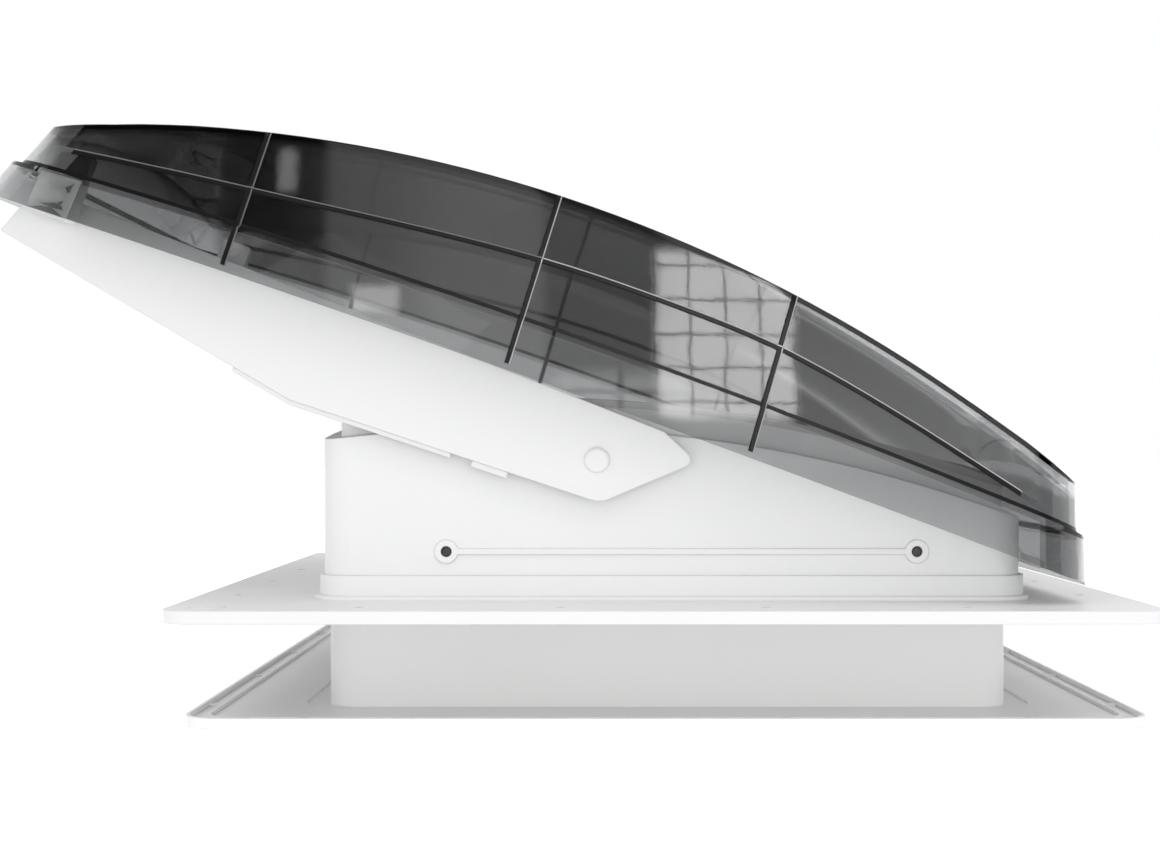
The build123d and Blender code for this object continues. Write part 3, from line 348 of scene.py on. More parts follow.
@dataclass(frozen=True)
class Smoked:
    """Clear smoked plastic, its tone painted along the lid as shade and light, and changed at a low angle.

    Each tone is a row of stops: a place along the lid in metres, and the painted share of light passing
    there.
    """

    name: str
    clear: Stops
    deep: Stops
    shadow: float
    reach: Tuple[float, float] = (-0.36, 0.24)
    hue: Colour = (0.98, 0.99, 1.0)
    roughness: Tuple[float, float] = (0.015, 0.035)
    index: float = 1.49
    bump: float = 0.03
    ripple: float = 0.002
    low_angle: float = 0.5

    def ramp(self, paint: Paint, share: Socket, stops: Stops) -> Socket:
        """Adds a ramp of tones along the lid, which paints shade and light there.

        Args:
            paint: the material's nodes.
            share: the place as a share of the reach.
            stops: the tones.

        Returns:
            The colour.
        """
        node = paint.add("ValToRGB", {"Fac": share})
        elements = node.color_ramp.elements
        for number, (x, tone) in enumerate(stops):
            position = (x - self.reach[0]) / (self.reach[1] - self.reach[0])
            stop = elements[number] if number < 2 else elements.new(position)
            stop.position = position
            stop.color = (*(tone * part for part in self.hue), 1.0)
        return node.outputs["Color"]

    def make(self) -> bpy.types.Material:
        """Builds the material.

        Returns:
            The new material.
        """
        paint = Paint(self.name)
        place = paint.place()
        share = paint.span(paint.add("SeparateXYZ", {"Vector": place}).outputs["X"], self.reach)
        facing = paint.add("LayerWeight", {"Blend": self.low_angle}).outputs["Facing"]
        grain = paint.effect(EFFECTS.grain(), {"Vector": place, "Scale": Grain.POLISHED.value})
        mottle = grain.outputs["Mottle"]
        paint.shade({
            "Base Color": paint.mix(facing, self.ramp(paint, share, self.clear),
                                    self.ramp(paint, share, self.deep)),
            "Roughness": paint.span(mottle, end=self.roughness),
            "Normal": paint.bump(self.bump, self.ripple, mottle).outputs["Normal"],
            "Transmission Weight": 1.0,
            "IOR": self.index,
        })
        clear = paint.add("BsdfTransparent", {"Color": (self.shadow, self.shadow, self.shadow)})
        blend = paint.add("MixShader", {"Fac": paint.add("LightPath").outputs["Is Shadow Ray"],
                                        1: paint.shader.outputs["BSDF"], 2: clear.outputs["BSDF"]})
        return paint.surface(blend.outputs["Shader"])


@dataclass(frozen=True)
class Metal:
    """Plated or brushed metal with fine streaks along one axis."""

    name: str
    colour: Colour
    second: Colour
    stretch: Vec3 = (8.0, 8.0, 900.0)
    detail: float = 6.0
    roughness: Tuple[float, float] = (0.25, 0.45)
    bump: float = 0.08
    streak_depth: float = 0.0003

    def make(self) -> bpy.types.Material:
        """Builds the material.

        Returns:
            The new material.
        """
        paint = Paint(self.name)
        place = paint.add("Mapping", {"Vector": paint.place(), "Scale": self.stretch})
        noise = paint.add("TexNoise", {"Vector": place.outputs["Vector"], "Scale": 1.0,
                                       "Detail": self.detail})
        streaks = noise.outputs["Fac"]
        return paint.shade({
            "Base Color": paint.mix(streaks, self.colour, self.second),
            "Roughness": paint.span(streaks, end=self.roughness),
            "Normal": paint.bump(self.bump, self.streak_depth, streaks).outputs["Normal"],
            "Metallic": 1.0,
        })


@dataclass(frozen=True)
class InsectScreen:
    """Woven insect screen: threads both ways with open squares between them."""

    name: str
    thread: Colour
    pitch: float
    open_share: float
    lighter: float = 1.8
    roughness: float = 0.6
    bump: float = 0.4
    thread_depth: float = 0.0002

    def make(self) -> bpy.types.Material:
        """Builds the material.

        Returns:
            The new material.
        """
        paint = Paint(self.name)
        place = paint.add("SeparateXYZ", {"Vector": paint.place()})
        half = self.pitch / 2
        waves = [paint.calculate("PINGPONG", place.outputs[axis], half) for axis in ("X", "Y")]
        threads = [paint.calculate("LESS_THAN", wave, half * (1 - self.open_share)) for wave in waves]
        second = tuple(part * self.lighter for part in self.thread)
        return paint.shade({
            "Base Color": paint.mix(paint.span(waves[0], (0.0, half)), self.thread, second),
            "Roughness": self.roughness,
            "Normal": paint.bump(self.bump, self.thread_depth, waves[1]).outputs["Normal"],
            "Alpha": paint.calculate("MAXIMUM", *threads),
        })


Finish = Union[Moulded, Smoked, Metal, InsectScreen]


@dataclass
class Finishes:
    """Every finish of the vent, by the name of its material slot."""

    made: Dict[str, bpy.types.Material] = field(default_factory=dict)

    looks: ClassVar[Dict[str, Finish]] = {look.name: look for look in (
        # Painted shade and light: these tones change along the lid, darker on the top's far part, clear at
        # the ends.
        Smoked("lid_smoke", shadow=0.45,
               clear=((-0.345, 0.75), (-0.312, 0.6), (-0.3, 0.1), (-0.19, 0.06), (-0.15, 0.19), (0.17, 0.25)),
               deep=((-0.345, 0.75), (-0.312, 0.5), (-0.3, 0.06), (0.05, 0.1), (0.17, 0.6))),
        Smoked("lid_skirt", shadow=0.6,
               clear=((-0.34, 0.7), (-0.312, 0.5), (-0.3, 0.32), (-0.26, 0.38), (-0.2, 0.48), (0.05, 0.5),
                      (0.15, 0.57)),
               deep=((-0.34, 0.7), (-0.3, 0.2), (0.15, 0.7))),
        Smoked("lid_box", shadow=0.5, clear=((0.1, 0.17), (0.2, 0.2)), deep=((0.1, 0.8), (0.2, 0.85))),
        # lid_edge: painted reflection, near black along the edge and clear at both ends like a light
        # reflection.
        Smoked("lid_edge", shadow=0.6, clear=((-0.345, 0.7), (-0.3, 0.02), (0.02, 0.03), (0.09, 0.75)),
               deep=((-0.345, 0.7), (-0.3, 0.01), (0.02, 0.02), (0.09, 0.85))),
        # lid_line: painted shade; the lines and the step are clear smoke plastic, drawn black where they look
        # dark.
        Moulded("lid_line", (0.006, 0.006, 0.007), (0.01, 0.01, 0.011), dusty=(0.02, 0.02, 0.02),
                roughness=(0.2, 0.3), grain=Grain.POLISHED, specular=0.25),
        # Painted highlights beside the lines: light toward the hinge end, a dimmer copy past the middle line.
        Moulded("lid_glint", (0.5, 0.5, 0.51), (0.6, 0.6, 0.61), roughness=(0.15, 0.25), grain=Grain.POLISHED,
                dust=0.0),
        Moulded("lid_sheen", (0.15, 0.15, 0.155), (0.2, 0.2, 0.205), roughness=(0.15, 0.25),
                grain=Grain.POLISHED, dust=0.0),
        Moulded("white_plastic", (0.83, 0.83, 0.83), (0.8, 0.805, 0.805), round_edge=0.0009, dust=0.05),
        # Painted light: lighter than white_plastic, to offset the shade that the flange casts on the garnish.
        Moulded("garnish_plastic", (0.9, 0.9, 0.9), (0.875, 0.875, 0.87), round_edge=0.0009, dust=0.03),
        Moulded("inner_plastic", (0.8, 0.8, 0.79), (0.77, 0.77, 0.755), grain=Grain.TEXTURED,
                roughness=(0.45, 0.6), bump=0.15, dust=0.05),
        Moulded("seal_rubber", (0.6, 0.6, 0.59), (0.52, 0.52, 0.51), roughness=(0.6, 0.8), bump=0.2),
        Moulded("tape_rubber", (0.25, 0.25, 0.245), (0.2, 0.2, 0.195), roughness=(0.7, 0.9), bump=0.3),
        Metal("steel", (0.6, 0.6, 0.6), (0.45, 0.45, 0.46)),
        Moulded("motor_black", (0.03, 0.03, 0.032), (0.05, 0.05, 0.052), roughness=(0.3, 0.45), coat=0.3),
        Moulded("gear_nylon", (0.74, 0.71, 0.63), (0.68, 0.65, 0.57), roughness=(0.4, 0.55)),
        Moulded("blade_black", (0.045, 0.045, 0.048), (0.07, 0.07, 0.072), roughness=(0.4, 0.55)),
        Moulded("dark_plastic", (0.06, 0.06, 0.065), (0.085, 0.085, 0.09), grain=Grain.TEXTURED,
                roughness=(0.45, 0.6), bump=0.2),
        InsectScreen("screen_mesh", (0.06, 0.06, 0.06), pitch=0.0016, open_share=0.72),
        Moulded("board_green", (0.02, 0.13, 0.05), (0.03, 0.18, 0.07), roughness=(0.2, 0.35)),
        Moulded("button_grey", (0.42, 0.43, 0.44), (0.46, 0.47, 0.48), roughness=(0.5, 0.65)),
        Moulded("lens_red", (0.12, 0.01, 0.012), (0.16, 0.015, 0.018), roughness=(0.05, 0.1), coat=1.0),
    )}

    def get(self, slot: str) -> bpy.types.Material:
        """Gives the material of a slot, built at its first use.

        Args:
            slot: the slot's name.

        Returns:
            The material.
        """
        if slot not in self.made:
            self.made[slot] = self.looks[slot].make()
        return self.made[slot]


FINISHES = Finishes()


def clear_selection() -> None:
    """Deselects every object."""
    if bpy.context.object and bpy.context.object.mode != "OBJECT":
        bpy.ops.object.mode_set(mode="OBJECT")
    bpy.ops.object.select_all(action="DESELECT")


def activate(piece: bpy.types.Object) -> None:
    """Makes one object the only selected and active one.

    Args:
        piece: the object.
    """
    clear_selection()
    piece.select_set(True)
    bpy.context.view_layer.objects.active = piece


@contextmanager
def editing(piece: bpy.types.Object, parts: str = "FACE") -> Iterator[None]:
    """Opens a piece in edit mode with nothing selected, and closes it at the end.

    Args:
        piece: the object.
        parts: what is selected there, FACE or EDGE.

    Yields:
        Nothing.
    """
    activate(piece)
    bpy.ops.object.mode_set(mode="EDIT")
    bpy.ops.mesh.select_mode(type=parts)
    bpy.ops.mesh.select_all(action="DESELECT")
    yield
    bpy.ops.object.mode_set(mode="OBJECT")


def choose(piece: bpy.types.Object, parts: str, test: Callable[..., bool]) -> None:
    """Selects, in a piece that is being edited, the faces or edges that pass a test.

    Args:
        piece: the object.
        parts: FACE or EDGE.
        test: takes a face or an edge.
    """
    mesh = bmesh.from_edit_mesh(piece.data)
    for part in mesh.faces if parts == "FACE" else mesh.edges:
        if test(part):
            part.select_set(True)
    bmesh.update_edit_mesh(piece.data)


def modify(piece: bpy.types.Object, kind: str, **settings: object) -> None:
    """Adds a modifier to a piece and applies it.

    Args:
        piece: the object.
        kind: the modifier's type.
        settings: its values.
    """
    activate(piece)
    modifier = piece.modifiers.new(kind.lower(), kind)
    for label, value in settings.items():
        setattr(modifier, label, value)
    bpy.ops.object.modifier_apply(modifier=modifier.name)


def settle(piece: bpy.types.Object, name: str, slot: str, body: str, angle: float = 35.0) -> bpy.types.Object:
    """Ends a piece: applied transform, smooth shading, material (unless it has its own) and body.

    Args:
        piece: the object.
        name: its name.
        slot: the material slot.
        body: the body it rides on.
        angle: edges sharper than this many degrees stay sharp.

    Returns:
        The piece.
    """
    activate(piece)
    bpy.ops.object.transform_apply(location=True, rotation=True, scale=True)
    bpy.ops.object.shade_smooth_by_angle(angle=math.radians(angle))
    piece.name = piece.data.name = name
    if len(piece.data.materials) < 2:
        piece.data.materials.clear()
        piece.data.materials.append(FINISHES.get(slot))
    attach(piece, body)
    return piece


def circle_through(points: Sequence[Tuple[float, float]]) -> Tuple[float, float, float]:
    """Finds the circle through three points.

    Args:
        points: the three points.

    Returns:
        The two coordinates of its centre, and its radius.
    """
    (ax, az), (bx, bz), (cx, cz) = points
    spread = 2 * (ax * (bz - cz) + bx * (cz - az) + cx * (az - bz))
    first, second, third = ax * ax + az * az, bx * bx + bz * bz, cx * cx + cz * cz
    centre_x = (first * (bz - cz) + second * (cz - az) + third * (az - bz)) / spread
    centre_z = (first * (cx - bx) + second * (ax - cx) + third * (bx - ax)) / spread
    return centre_x, centre_z, math.hypot(ax - centre_x, az - centre_z)


@dataclass
class SubAssembly:
    """A sub-assembly of the vent, which dresses its solids and adds its own pieces."""

    finishes: ClassVar[Dict[str, Sequence[str]]] = {}

    def dress(self) -> None:
        """Gives each of its solids its finish."""
        for slot, names in self.finishes.items():
            for name in names:
                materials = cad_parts[name].data.materials
                materials.clear()
                materials.append(FINISHES.get(slot))

    def pieces(self) -> List[bpy.types.Object]:
        """Gives the new pieces. A plain sub-assembly has none."""
        return []

    def build(self) -> List[bpy.types.Object]:
        """Dresses the solids and adds the new pieces."""
        self.dress()
        return self.pieces()


@dataclass
class SunkScrew:
    """A round screw head with a dished face and a recess."""

    radius: float
    height: float
    sides: int = 24
    dish_share: float = 0.35
    dish_depth_share: float = 0.25
    recess_share: float = 0.3
    recess_depth_share: float = 0.42
    floor_share: float = 0.12
    round_share: float = 0.06
    round_limit: float = 40.0

    def build(self, name: str, place: Vec3, facing: Vec3, slot: str, body: str) -> bpy.types.Object:
        """Models the screw head.

        Args:
            name: the piece's name.
            place: centre of the head's lower face.
            facing: the way the head looks.
            slot: the material slot.
            body: the body it rides on.

        Returns:
            The finished piece.
        """
        clear_selection()
        bpy.ops.mesh.primitive_cylinder_add(vertices=self.sides, radius=self.radius, depth=self.height,
                                            location=(0, 0, self.height / 2))
        head = bpy.context.object
        with editing(head):
            choose(head, "FACE", lambda face: face.normal.z > LOOKS_UP)
            bpy.ops.mesh.inset(thickness=self.radius * self.dish_share,
                               depth=self.height * self.dish_depth_share)
            bpy.ops.mesh.inset(thickness=self.radius * self.recess_share, depth=0)
            bpy.ops.mesh.extrude_region_move(
                TRANSFORM_OT_translate={"value": (0, 0, -self.height * self.recess_depth_share)})
            bpy.ops.mesh.inset(thickness=self.radius * self.floor_share, depth=0)
        modify(head, "BEVEL", width=self.radius * self.round_share, segments=2, limit_method="ANGLE",
               angle_limit=math.radians(self.round_limit))
        head.rotation_euler = Vector((0, 0, 1)).rotation_difference(Vector(facing)).to_euler()
        head.location = place
        return settle(head, name, slot, body)


@dataclass
class RaisedLid(SubAssembly):
    """The smoked lid with its guide blocks and hinge straps.

    Its sizes repeat the solid's, in metres, with the lid closed. Heights count from the rim, and a share is
    a place along the lid from its hinge end.
    """

    finishes = {
        "white_plastic": ("near_guide_block", "far_guide_block", "near_hinge_strap", "far_hinge_strap"),
    }
    slots: ClassVar[Tuple[str, ...]] = (
        "lid_smoke", "lid_skirt", "lid_box", "lid_edge", "lid_line", "lid_glint", "lid_sheen")

    length: float = 0.588
    width: float = 0.424
    wall: float = 0.0028
    corner: float = 0.024
    corner_segments: int = 8
    hinge_end: float = 0.2163
    rim_level: float = 0.0227
    rim_arch: float = 0.004
    step: float = 0.003
    crown: float = 0.0127
    middle_share: float = 0.505
    skirt: Tuple[float, float, float] = (0.0225, 0.03, 0.0195)
    upper: Tuple[float, float, float] = (0.043, 0.094, 0.039)
    line: Stops = ((0.07, 0.03), (0.2, 0.0485), (0.312, 0.06), (0.42, 0.0628), (0.528, 0.0615),
                   (0.776, 0.046), (0.886, 0.038), (0.968, 0.0315))
    line_proud: float = 0.001
    line_half: float = 0.001
    line_flank: float = 0.0005
    line_rim_gap: float = 0.0035
    step_band: float = 0.0022
    edge_bands: Tuple[float, float] = (0.0026, 0.0065)
    box_share: float = 0.05
    cross_shares: Tuple[float, float, float] = (0.311, 0.528, 0.78)
    cross_lean: float = -2.8
    lean_margin: float = 0.09
    lean_fade: float = 0.05
    end_draft: float = 19.3
    side_draft: float = 8.0
    end_zone: float = 0.04
    flat_side: float = 0.01
    hinge: Tuple[float, float] = (0.192, 0.027)
    open_angle: float = 19.6
    edge_round: float = 0.0024
    edge_segments: int = 4
    edge_angle: float = 50.0
    edge_margin: float = 0.006
    smooth_angle: float = 22.0
    stations: int = 44
    lanes: int = 16
    first_height: float = 0.03
    rounds: int = 4

    @property
    def line_reach(self) -> float:
        """Half the width of a raised line at its foot."""
        return self.line_half + self.line_flank

    def has_line(self, share: float) -> bool:
        """Tells whether the long line passes a place."""
        return self.line[0][0] < share < self.line[-1][0]

    def arc(self, share: float, heights: Sequence[float], shares: Sequence[float]) -> float:
        """Height of an arc through three points.

        Args:
            share: the place.
            heights: the arc's heights at its start, middle and end.
            shares: the shares at which the arc has them.

        Returns:
            The height.
        """
        points = [(s * self.length, h) for s, h in zip(shares, heights)]
        centre_x, centre_z, radius = circle_through(points)
        side = 1 if points[1][1] > centre_z else -1
        return centre_z + side * math.sqrt(max(radius ** 2 - (share * self.length - centre_x) ** 2, 0))

    def line_height(self, share: float) -> float:
        """Height of the long raised line, smooth through its points.

        Args:
            share: the place.

        Returns:
            The height.
        """
        points = self.line
        slopes = [(b[1] - a[1]) / (b[0] - a[0]) for a, b in zip(points, points[1:])]
        slopes = [slopes[0]] + [(a + b) / 2 for a, b in zip(slopes, slopes[1:])] + [slopes[-1]]
        share = min(max(share, points[0][0]), points[-1][0])
        for (a, low), (b, high), start, end in zip(points, points[1:], slopes, slopes[1:]):
            if share <= b:
                t = (share - a) / (b - a)
                slope = (high - low) / (b - a)
                bend = t * (1 - t) * (b - a) * ((1 - t) * (start - slope) - t * (end - slope))
                return low + (high - low) * t + bend
        return points[-1][1]

    def top_height(self, along: float, y: float, drop: float) -> float:
        """Height of the crowned top. Its middle line is the arc of the upper edge, raised by the crown.

        Args:
            along: distance from the hinge end.
            y: distance from the middle plane.
            drop: how far the surface is lowered.

        Returns:
            The height.
        """
        slope = math.tan(math.radians(self.end_draft))
        centre_x, centre_z, radius = circle_through([
            (slope * self.upper[0] + self.step, self.upper[0]),
            (self.length * self.middle_share, self.upper[1]),
            (self.length - self.step - slope * self.upper[2], self.upper[2])])
        half = self.width / 2
        bow = (half * half + self.crown * self.crown) / (2 * self.crown)
        reach = radius - drop + self.crown - bow + math.sqrt(max(bow * bow - y * y, 0))
        return centre_z + math.sqrt(max(reach * reach - (along - centre_x) ** 2, 0))

    def rows(self, along: float, y: float, inset: float) -> Tuple[float, ...]:
        """Heights of the face's rows at one place.

        Args:
            along: distance from the hinge end.
            y: distance from the middle plane.
            inset: how far inside the outer face this face lies.

        Returns:
            The heights, in the order of Level.
        """
        share, reach = along / self.length, self.line_reach
        rim = self.arc(share, (0, self.rim_arch, 0), (0, 0.5, 1))
        skirt = self.arc(share, self.skirt, (0, self.middle_share, 1)) - inset
        top = self.top_height(along, y, inset)
        line = max(self.line_height(share), skirt + inset + self.step_band + 2 * reach)
        line = min(line, top - self.edge_bands[1] - 2 * reach)
        edge = top - self.edge_bands[0] - (self.edge_bands[1] - self.edge_bands[0]) * max(0, 1 - 2 * share)
        foot = rim + self.line_rim_gap
        middle = (line + reach + edge) / 2
        return (rim, foot - self.line_flank, foot, skirt, skirt, skirt + self.step_band, line - reach,
                line - self.line_half, line + self.line_half, line + reach, middle, edge, top)

    def cuts(self) -> List[Tuple[Vec3, Vec3]]:
        """Lays out the cuts through the block: across at the stations and the lines, along, and level.

        Returns:
            A point and a normal of each cutting plane.
        """
        half = self.length / 2
        places = [half * (2 * n / self.stations - 1) for n in range(1, self.stations)]
        for share in self.cross_shares:
            x = half - share * self.length
            places = [p for p in places if abs(p - x) > self.line_half + 3 * self.line_flank]
            places += [x - self.line_reach, x - self.line_half, x + self.line_half, x + self.line_reach]
        places += [half - share * self.length for share, _ in (self.line[0], self.line[-1])]
        cuts = [((x, 0, 0), (1, 0, 0)) for x in sorted(places)]
        cuts += [((0, self.width * (n / self.lanes - 0.5), 0), (0, 1, 0)) for n in range(1, self.lanes)]
        return cuts + [((0, 0, level), (0, 0, 1)) for level in range(1, Level.TOP)]

    def block(self, name: str) -> bpy.types.Object:
        """Cuts a rounded block into the rows that the lid's face is shaped from, and opens it below.

        Args:
            name: the block's name.

        Returns:
            The block, whose levels stand at whole numbers.
        """
        clear_selection()
        bpy.ops.mesh.primitive_cube_add(size=1, location=(0, 0, Level.TOP / 2))
        piece = bpy.context.object
        piece.name = name
        piece.scale = (self.length, self.width, Level.TOP)
        bpy.ops.object.transform_apply(location=True, rotation=True, scale=True)
        with editing(piece, "EDGE"):
            choose(piece, "EDGE", lambda edge: abs(edge.verts[0].co.z - edge.verts[1].co.z) > 1)
            bpy.ops.mesh.bevel(offset=self.corner, offset_type="OFFSET", segments=self.corner_segments,
                               profile=0.5, affect="EDGES")
            for place, normal in self.cuts():
                bpy.ops.mesh.select_all(action="SELECT")
                bpy.ops.mesh.bisect(plane_co=place, plane_no=normal)
        with editing(piece):
            choose(piece, "FACE", lambda face: face.calc_center_median().z < TOUCH)
            bpy.ops.mesh.delete(type="FACE")
        return piece

    def squeeze(self, value: float, half: float, zone: float, shift: float) -> float:
        """Moves a place near an end inwards and leaves the middle.

        Args:
            value: place from the centre.
            half: half the block's side.
            zone: how wide the part next to the corner is that gives way.
            shift: how far the end moves in.

        Returns:
            The new place.
        """
        fixed = half - self.corner - zone
        size = abs(value)
        if size <= fixed:
            return value
        if size >= half - self.corner:
            return math.copysign(size - shift, value)
        return math.copysign(fixed + (size - fixed) * (zone - shift) / zone, value)

    def raised(self, x: float, y: float, share: float, level: int) -> bool:
        """Tells whether a point of the block stands on a raised line.

        Args:
            x: its place in the block.
            y: its other place in the block.
            share: its place on the shaped lid.
            level: its row.

        Returns:
            True on a line.
        """
        along = level in (Level.LINE_LOW_TOP, Level.LINE_HIGH_TOP) and self.has_line(share)
        across = level >= Level.LINE_START and any(
            abs(self.length / 2 - x - s * self.length) < self.line_half + TOUCH for s in self.cross_shares)
        return abs(y) > self.width / 2 - TOUCH and level < Level.TOP and (along or across)

    def shape(self, piece: bpy.types.Object, inset: float, ribs: bool) -> None:
        """Moves each row of the block to its place on the closed lid's face.

        Args:
            piece: the block.
            inset: how far inside the outer face this face lies.
            ribs: True to raise the lines.
        """
        end_slope, side_slope = (math.tan(math.radians(a)) for a in (self.end_draft, self.side_draft))
        half_length, half_width = self.length / 2, self.width / 2
        side_zone = half_width - self.corner - self.flat_side
        for vertex in piece.data.vertices:
            x, y, level = vertex.co.x, vertex.co.y, round(vertex.co.z)
            over_step = inset + (self.step if level >= Level.STEP_IN else 0.0)
            height, new_x, new_y = self.first_height, x, y
            for _ in range(self.rounds):
                new_x = self.squeeze(x, half_length, self.end_zone, over_step + end_slope * height)
                new_y = self.squeeze(y, half_width, side_zone, over_step + side_slope * height)
                height = self.rows(half_length - new_x, new_y, inset)[level]
            if ribs and self.raised(x, y, (half_length - new_x) / self.length, level):
                new_y += math.copysign(self.line_proud, y)
            lean = math.tan(math.radians(self.cross_lean)) * (height - self.line_rim_gap)
            middle = 1 - min(1.0, max(0.0, (abs(x) - half_length + self.lean_margin) / self.lean_fade))
            vertex.co = (self.hinge_end - half_length + new_x + lean * middle, new_y, self.rim_level + height)

    def finish_of(self, face: bpy.types.MeshPolygon, ribs: bool) -> str:
        """Chooses a face's finish: smoke by row, painted shade on lines and step, painted glints beside
        lines.

        Args:
            face: a face of the block, not yet shaped.
            ribs: True where the lines stand on this face of the lid.

        Returns:
            The finish's name.
        """
        place, share = face.center, 0.5 - face.center.x / self.length
        if abs(face.normal.z) > LOOKS_UP:
            return "lid_smoke"
        smoke = "lid_edge" if place.z > Level.EDGE else "lid_smoke"
        if place.z < Level.STEP_OUT:
            smoke = "lid_box" if share < self.box_share else "lid_skirt"
        gaps = [(s - share) * self.length for s in self.cross_shares]
        across = place.z > Level.LINE_FOOT and any(abs(gap) < self.line_reach for gap in gaps)
        along = Level.LINE_LOW < place.z < Level.LINE_HIGH and self.has_line(share)
        on_line = abs(place.y) > self.width / 2 - TOUCH and (across or along)
        if not ribs or not (on_line or Level.STEP_OUT < place.z < Level.STEP_BAND):
            return smoke
        # Painted highlight on the flanks: bright toward the hinge end, dim past the middle cross line.
        lit = across and any(self.line_half < gap < self.line_reach for gap in gaps)
        if not lit and not (along and place.z > Level.LINE_HIGH_TOP):
            return "lid_line"
        return "lid_glint" if gaps[1] > self.line_half else "lid_sheen"

    def face(self, name: str, inset: float, ribs: bool) -> bpy.types.Object:
        """Makes the lid's outer or inner face.

        Args:
            name: the object's name.
            inset: how far inside the outer face this face lies.
            ribs: True to raise and mark the lines.

        Returns:
            The face, open at its rim.
        """
        piece = self.block(name)
        for slot in self.slots:
            piece.data.materials.append(FINISHES.get(slot))
        for polygon in piece.data.polygons:
            polygon.material_index = self.slots.index(self.finish_of(polygon, ribs))
        self.shape(piece, inset, ribs)
        return piece

    def shell(self) -> bpy.types.Object:
        """Builds the clear shell: outer face with lines, plain inner face, rim between them.

        Returns:
            The finished shell, open as in the photo.
        """
        outer, inner = self.face("lid_outer", 0.0, True), self.face("lid_inner", self.wall, False)
        with editing(inner):
            bpy.ops.mesh.select_all(action="SELECT")
            bpy.ops.mesh.flip_normals()
        outer.select_set(True)
        bpy.context.view_layer.objects.active = outer
        bpy.ops.object.join()
        with editing(outer, "EDGE"):
            bpy.ops.mesh.select_non_manifold(extend=False, use_wire=False, use_boundary=True,
                                             use_multi_face=False, use_non_contiguous=False, use_verts=False)
            bpy.ops.mesh.bridge_edge_loops()
        with editing(outer, "EDGE"):
            choose(outer, "EDGE", self.is_upper_edge)
            bpy.ops.mesh.bevel(offset=self.edge_round, offset_type="OFFSET", segments=self.edge_segments,
                               profile=0.5, affect="EDGES", clamp_overlap=True)
        pivot = Vector((self.hinge[0], 0, self.hinge[1]))
        turn = Euler((0, math.radians(self.open_angle), 0))
        outer.rotation_euler = turn
        outer.location = pivot - turn.to_matrix() @ pivot
        return outer

    def is_upper_edge(self, edge: bmesh.types.BMEdge) -> bool:
        """Tells whether an edge is part of the sharp edge round the top.

        Args:
            edge: an edge of the closed lid.

        Returns:
            True on that edge.
        """
        if len(edge.link_faces) != 2 or edge.calc_face_angle_signed(0) <= math.radians(self.edge_angle):
            return False
        looks_up = max(face.normal.z for face in edge.link_faces) > LOOKS_UP
        lowest = self.rim_level + self.upper[2] - self.edge_margin
        return looks_up and min(vertex.co.z for vertex in edge.verts) > lowest

    def pieces(self) -> List[bpy.types.Object]:
        """Replaces the lid's shell with a smooth one, whose large faces keep their own normals.

        Returns:
            The new pieces.
        """
        shell = self.shell()
        settle(shell, "clear_lid", "lid_smoke", "lid", angle=self.smooth_angle)
        modify(shell, "WEIGHTED_NORMAL", mode="FACE_AREA", weight=100, keep_sharp=True)
        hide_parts("lid_shell")
        return [shell]


@dataclass
class RainWings(SubAssembly):
    """The two white wings, their cross bar, pivot caps, lift shaft and gear."""

    finishes = {
        "white_plastic": ("near_wing", "far_wing", "cross_bar", "near_pivot_cap", "far_pivot_cap"),
        "steel": ("lift_shaft", "near_guide_pin", "far_guide_pin"),
        "gear_nylon": ("sector_gear",),
    }


@dataclass
class Housing(SubAssembly):
    """The fan housing, its seals, side screws and hinge brackets."""

    finishes = {
        "white_plastic": ("fan_housing", "near_hinge_bracket", "far_hinge_bracket"),
        "seal_rubber": ("coaming_seal", "body_gasket"),
        "steel": ("near_hinge_pin", "far_hinge_pin"),
    }

    screw_radius: float = 0.0026
    screw_height: float = 0.0012
    screw_depth: float = 0.0024
    screw_level: float = 0.0312
    screw_places: Tuple[float, float] = (-0.1094, 0.1306)

    def pieces(self) -> List[bpy.types.Object]:
        """Adds the sunk side screws.

        Returns:
            The screws.
        """
        low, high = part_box("fan_housing")
        screw = SunkScrew(self.screw_radius, self.screw_height)
        pieces = []
        for side in Side:
            wall = low[1] if side is Side.NEAR else high[1]
            for number, x in enumerate(self.screw_places, 1):
                place = (x, wall - side.value * self.screw_depth, self.screw_level)
                name = "%s_side_screw_%d" % (side.name.lower(), number)
                pieces.append(screw.build(name, place, (0, side.value, 0), "motor_black", "root"))
        return pieces


@dataclass
class RoofFlange(SubAssembly):
    """The flange that lies on the roof, with its sealing tape."""

    finishes = {"white_plastic": ("roof_flange",), "tape_rubber": ("roof_seal",)}


@dataclass
class Garnish(SubAssembly):
    """The ceiling garnish and its long screws."""

    finishes = {"garnish_plastic": ("ceiling_garnish",), "steel": ("garnish_screws",)}


@dataclass
class FanUnit(SubAssembly):
    """The duct, the rotor and the motor."""

    finishes = {
        "white_plastic": ("fan_duct",),
        "blade_black": ("fan_rotor",),
        "motor_black": ("motor_can",),
        "dark_plastic": ("motor_end_cap",),
        "steel": ("motor_shaft", "rotor_nut", "motor_bracket", "duct_screws", "bracket_screws"),
    }


@dataclass
class LiftDrive(SubAssembly):
    """The lid's lift gearing and motor."""

    finishes = {
        "dark_plastic": ("lift_gearcase",),
        "steel": ("lift_motor",),
        "gear_nylon": ("lift_pinion", "near_shaft_bush", "far_shaft_bush"),
    }


